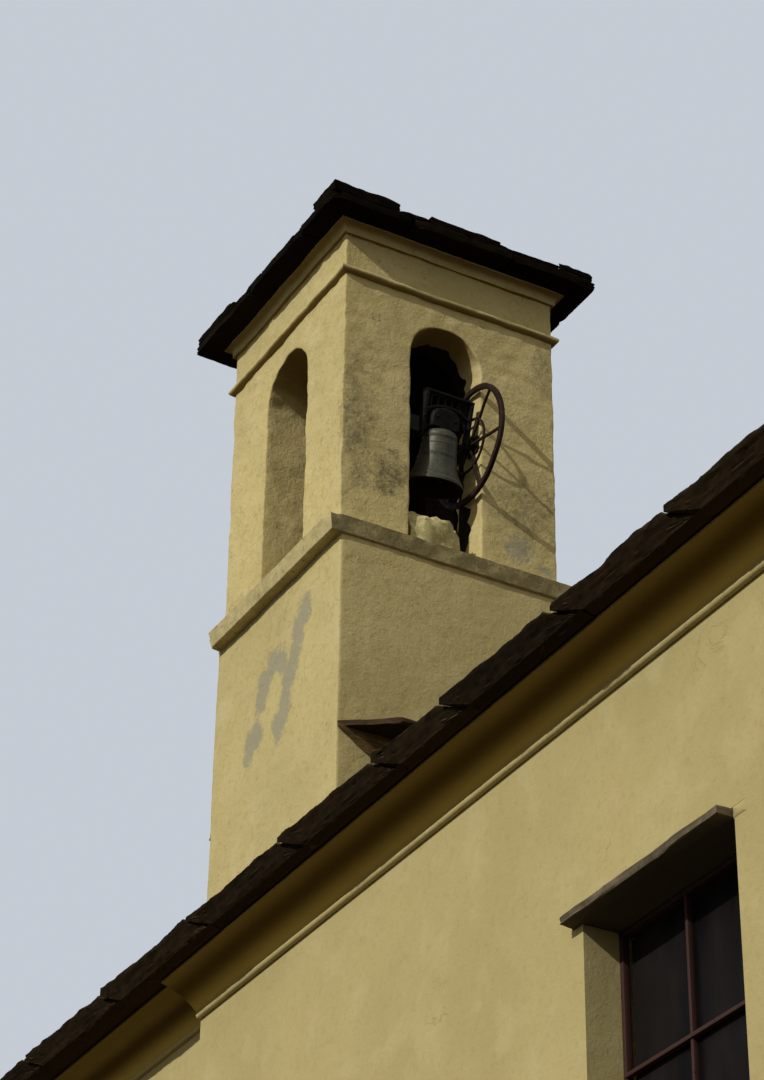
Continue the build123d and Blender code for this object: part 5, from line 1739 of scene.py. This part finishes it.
class CHAPEL_OT_nave_roof(Maker, bpy.types.Operator):
    """Make the slab courses of both slopes, the ridge slabs and the slabs let into the shaft."""

    bl_idname = "chapel.nave_roof"
    bl_label = "Nave roof"

    def make(self, scene):
        for name, side, seed in (("left", -1, 200), ("right", 1, 300)):
            slope, eave = slope_slabs(side, seed), eave_slabs(side, seed)
            make_piece(f"{name}_slope", slope, ("slab",), (f"{name}_roof_slabs",), sharp=50)
            make_piece(f"{name}_eave_slabs", eave, ("slab",), sharp=50)
        make_piece("ridge_slabs", ridge_slabs(), ("slab",), ("ridge_stones",), sharp=50)
        flashing, looks = flashing_slabs(), ("flashing", "mortar")
        make_piece("shaft_flashing", flashing, looks, ("flashing_slabs",), sharp=50)


class CHAPEL_OT_windows(Maker, bpy.types.Operator):
    """Make the iron window frames with their nets, and the slabs over the windows and the door."""

    bl_idname = "chapel.windows"
    bl_label = "Windows"

    def make(self, scene):
        frames, nets = [], []
        for place in wall_places():
            frames += window_bars(*place)
            nets += wire_net(*place)
        make_piece("window_irons", frames, ("paint",), ("window_frames",))
        make_piece("window_nets", nets, ("net",))
        make_piece("lintels", lintel_stones(), ("lintel", "nave"), ("lintel_slabs",), sharp=50)


class CHAPEL_OT_door(Maker, bpy.types.Operator):
    """Make the boarded door leaves with their iron."""

    bl_idname = "chapel.door"
    bl_label = "Door"

    def make(self, scene):
        wood, iron = door_boards()
        make_piece("door_boards", wood, ("door",), ("door_leaves",))
        make_piece("door_iron", iron, ("iron",))


class CHAPEL_OT_bell(Maker, bpy.types.Operator):
    """Make the bell, its clapper, the openwork headstock and the spoked wheel."""

    bl_idname = "chapel.bell"
    bl_label = "Bell, headstock and wheel"

    def make(self, scene):
        body = "bell_assembly"
        irons = ("iron", "wheel")
        make_piece("bell_body", [bell_shell()], ("bronze", "soot"), ("bell",), body, 50)
        make_piece("bell_clapper", clapper_shells(), ("iron",), ("clapper",), body)
        make_piece("headstock_iron", headstock_shells(), irons, ("headstock",), body)
        make_piece("spoked_wheel", wheel_shells(), irons, ("bell_wheel",), body)


def camera_matrix():
    """The photographer's place and view: turned to the right, tilted up, rolled a little."""
    turn, tilt, roll = CAMERA_TURN
    right = Vector((math.cos(turn), -math.sin(turn), 0))
    ahead = Vector((math.sin(turn) * math.cos(tilt), math.cos(turn) * math.cos(tilt), math.sin(tilt)))
    up = right.cross(ahead)
    rolled_right = math.cos(roll) * right + math.sin(roll) * up
    rolled_up = math.cos(roll) * up - math.sin(roll) * right
    matrix = Matrix((rolled_right, rolled_up, -ahead)).transposed().to_4x4()
    matrix.translation = Vector(CAMERA_PLACE)
    return matrix


def sunlight(name, travel, strength, angle):
    """A sun whose light travels along a direction; its disc is angle degrees wide."""
    lamp = bpy.data.lights.new(name, "SUN")
    lamp.energy = strength
    lamp.angle = math.radians(angle)
    add(name, lamp).rotation_euler = Vector(travel).to_track_quat("-Z", "Y").to_euler()


def soft_sky(backdrop):
    """A world that lights softly and shows the plain backdrop to the camera, in gloss and through glass."""
    world = bpy.data.worlds.new("soft sky")
    world.use_nodes = True
    tree = world.node_tree
    tree.nodes.clear()
    shown = put(tree, "ShaderNodeLightPath", output="Is Camera Ray")
    for ray in ("Is Glossy Ray", "Is Transmission Ray"):
        shown = sums("MAXIMUM", shown, put(tree, "ShaderNodeLightPath", output=ray))
    soft = put(tree, "ShaderNodeBackground", {"Color": (0.39, 0.375, 0.345), "Strength": 1.25})
    plain = put(tree, "ShaderNodeBackground", {"Color": backdrop, "Strength": 1.0})
    mixed = put(tree, "ShaderNodeMixShader", {0: shown, 1: soft, 2: plain})
    put(tree, "ShaderNodeOutputWorld", {"Surface": mixed})
    return world


class CHAPEL_OT_stage(Maker, bpy.types.Operator):
    """Set up the pale ground, the soft sky, the low sun and the camera at the photograph's place."""

    bl_idname = "chapel.stage"
    bl_label = "Stage"

    def make(self, scene):
        reach = scene.chapel_sizes.floor_reach
        mesh = bpy.data.meshes.new("ground")
        corners = [(-reach, -reach, 0), (reach, -reach, 0), (reach, reach, 0), (-reach, reach, 0)]
        mesh.from_pydata(corners, [], [(0, 1, 2, 3)])
        mesh.materials.append(pale_ground("pale ground"))
        ground = add("ground", mesh)
        scene.world = soft_sky(tuple(scene.chapel_colours.backdrop))
        sunlight("low sun", (0.842, 0.236, -0.486), 2.75, 1.0)
        sunlight("back light", (-0.6, -0.62, -0.5), 0.7, 20)
        camera = bpy.data.cameras.new("photographer")
        camera.sensor_fit = "VERTICAL"
        camera.sensor_width = camera.sensor_height = SENSOR
        camera.lens = LENS
        camera.clip_end = 2000
        scene.camera = add("photographer", camera)
        scene.camera.matrix_world = camera_matrix()
        scene.view_settings.view_transform = "Standard"


MAKERS = (
    CHAPEL_OT_walls, CHAPEL_OT_turret, CHAPEL_OT_turret_roof, CHAPEL_OT_nave_roof, CHAPEL_OT_windows,
    CHAPEL_OT_door, CHAPEL_OT_bell, CHAPEL_OT_stage,
)


class CHAPEL_PT_panel(bpy.types.Panel):
    """Lists the chapel's sizes, colours and makers in the sidebar."""

    bl_idname = "CHAPEL_PT_panel"
    bl_label = "Small chapel"
    bl_space_type = "VIEW_3D"
    bl_region_type = "UI"
    bl_category = "Chapel"

    def draw(self, context):
        for group_name in ("chapel_sizes", "chapel_colours"):
            settings = getattr(context.scene, group_name)
            for name in settings.bl_rna.properties.keys():
                if name not in ("rna_type", "name"):
                    self.layout.prop(settings, name)
        for maker in MAKERS:
            self.layout.operator(maker.bl_idname)


CLASSES = (ChapelSizes, ChapelColours, *MAKERS, CHAPEL_PT_panel)


def register():
    """Registers the classes and puts the settings on the scene."""
    for part in CLASSES:
        bpy.utils.register_class(part)
    bpy.types.Scene.chapel_sizes = PointerProperty(type=ChapelSizes)
    bpy.types.Scene.chapel_colours = PointerProperty(type=ChapelColours)


def unregister():
    """Takes away what register put there."""
    del bpy.types.Scene.chapel_colours
    del bpy.types.Scene.chapel_sizes
    for part in reversed(CLASSES):
        bpy.utils.unregister_class(part)


def main():
    """Registers the add-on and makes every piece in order."""
    register()
    for maker in MAKERS:
        family, name = maker.bl_idname.split(".")
        getattr(getattr(bpy.ops, family), name)()


if __name__ == "__main__":
    main()
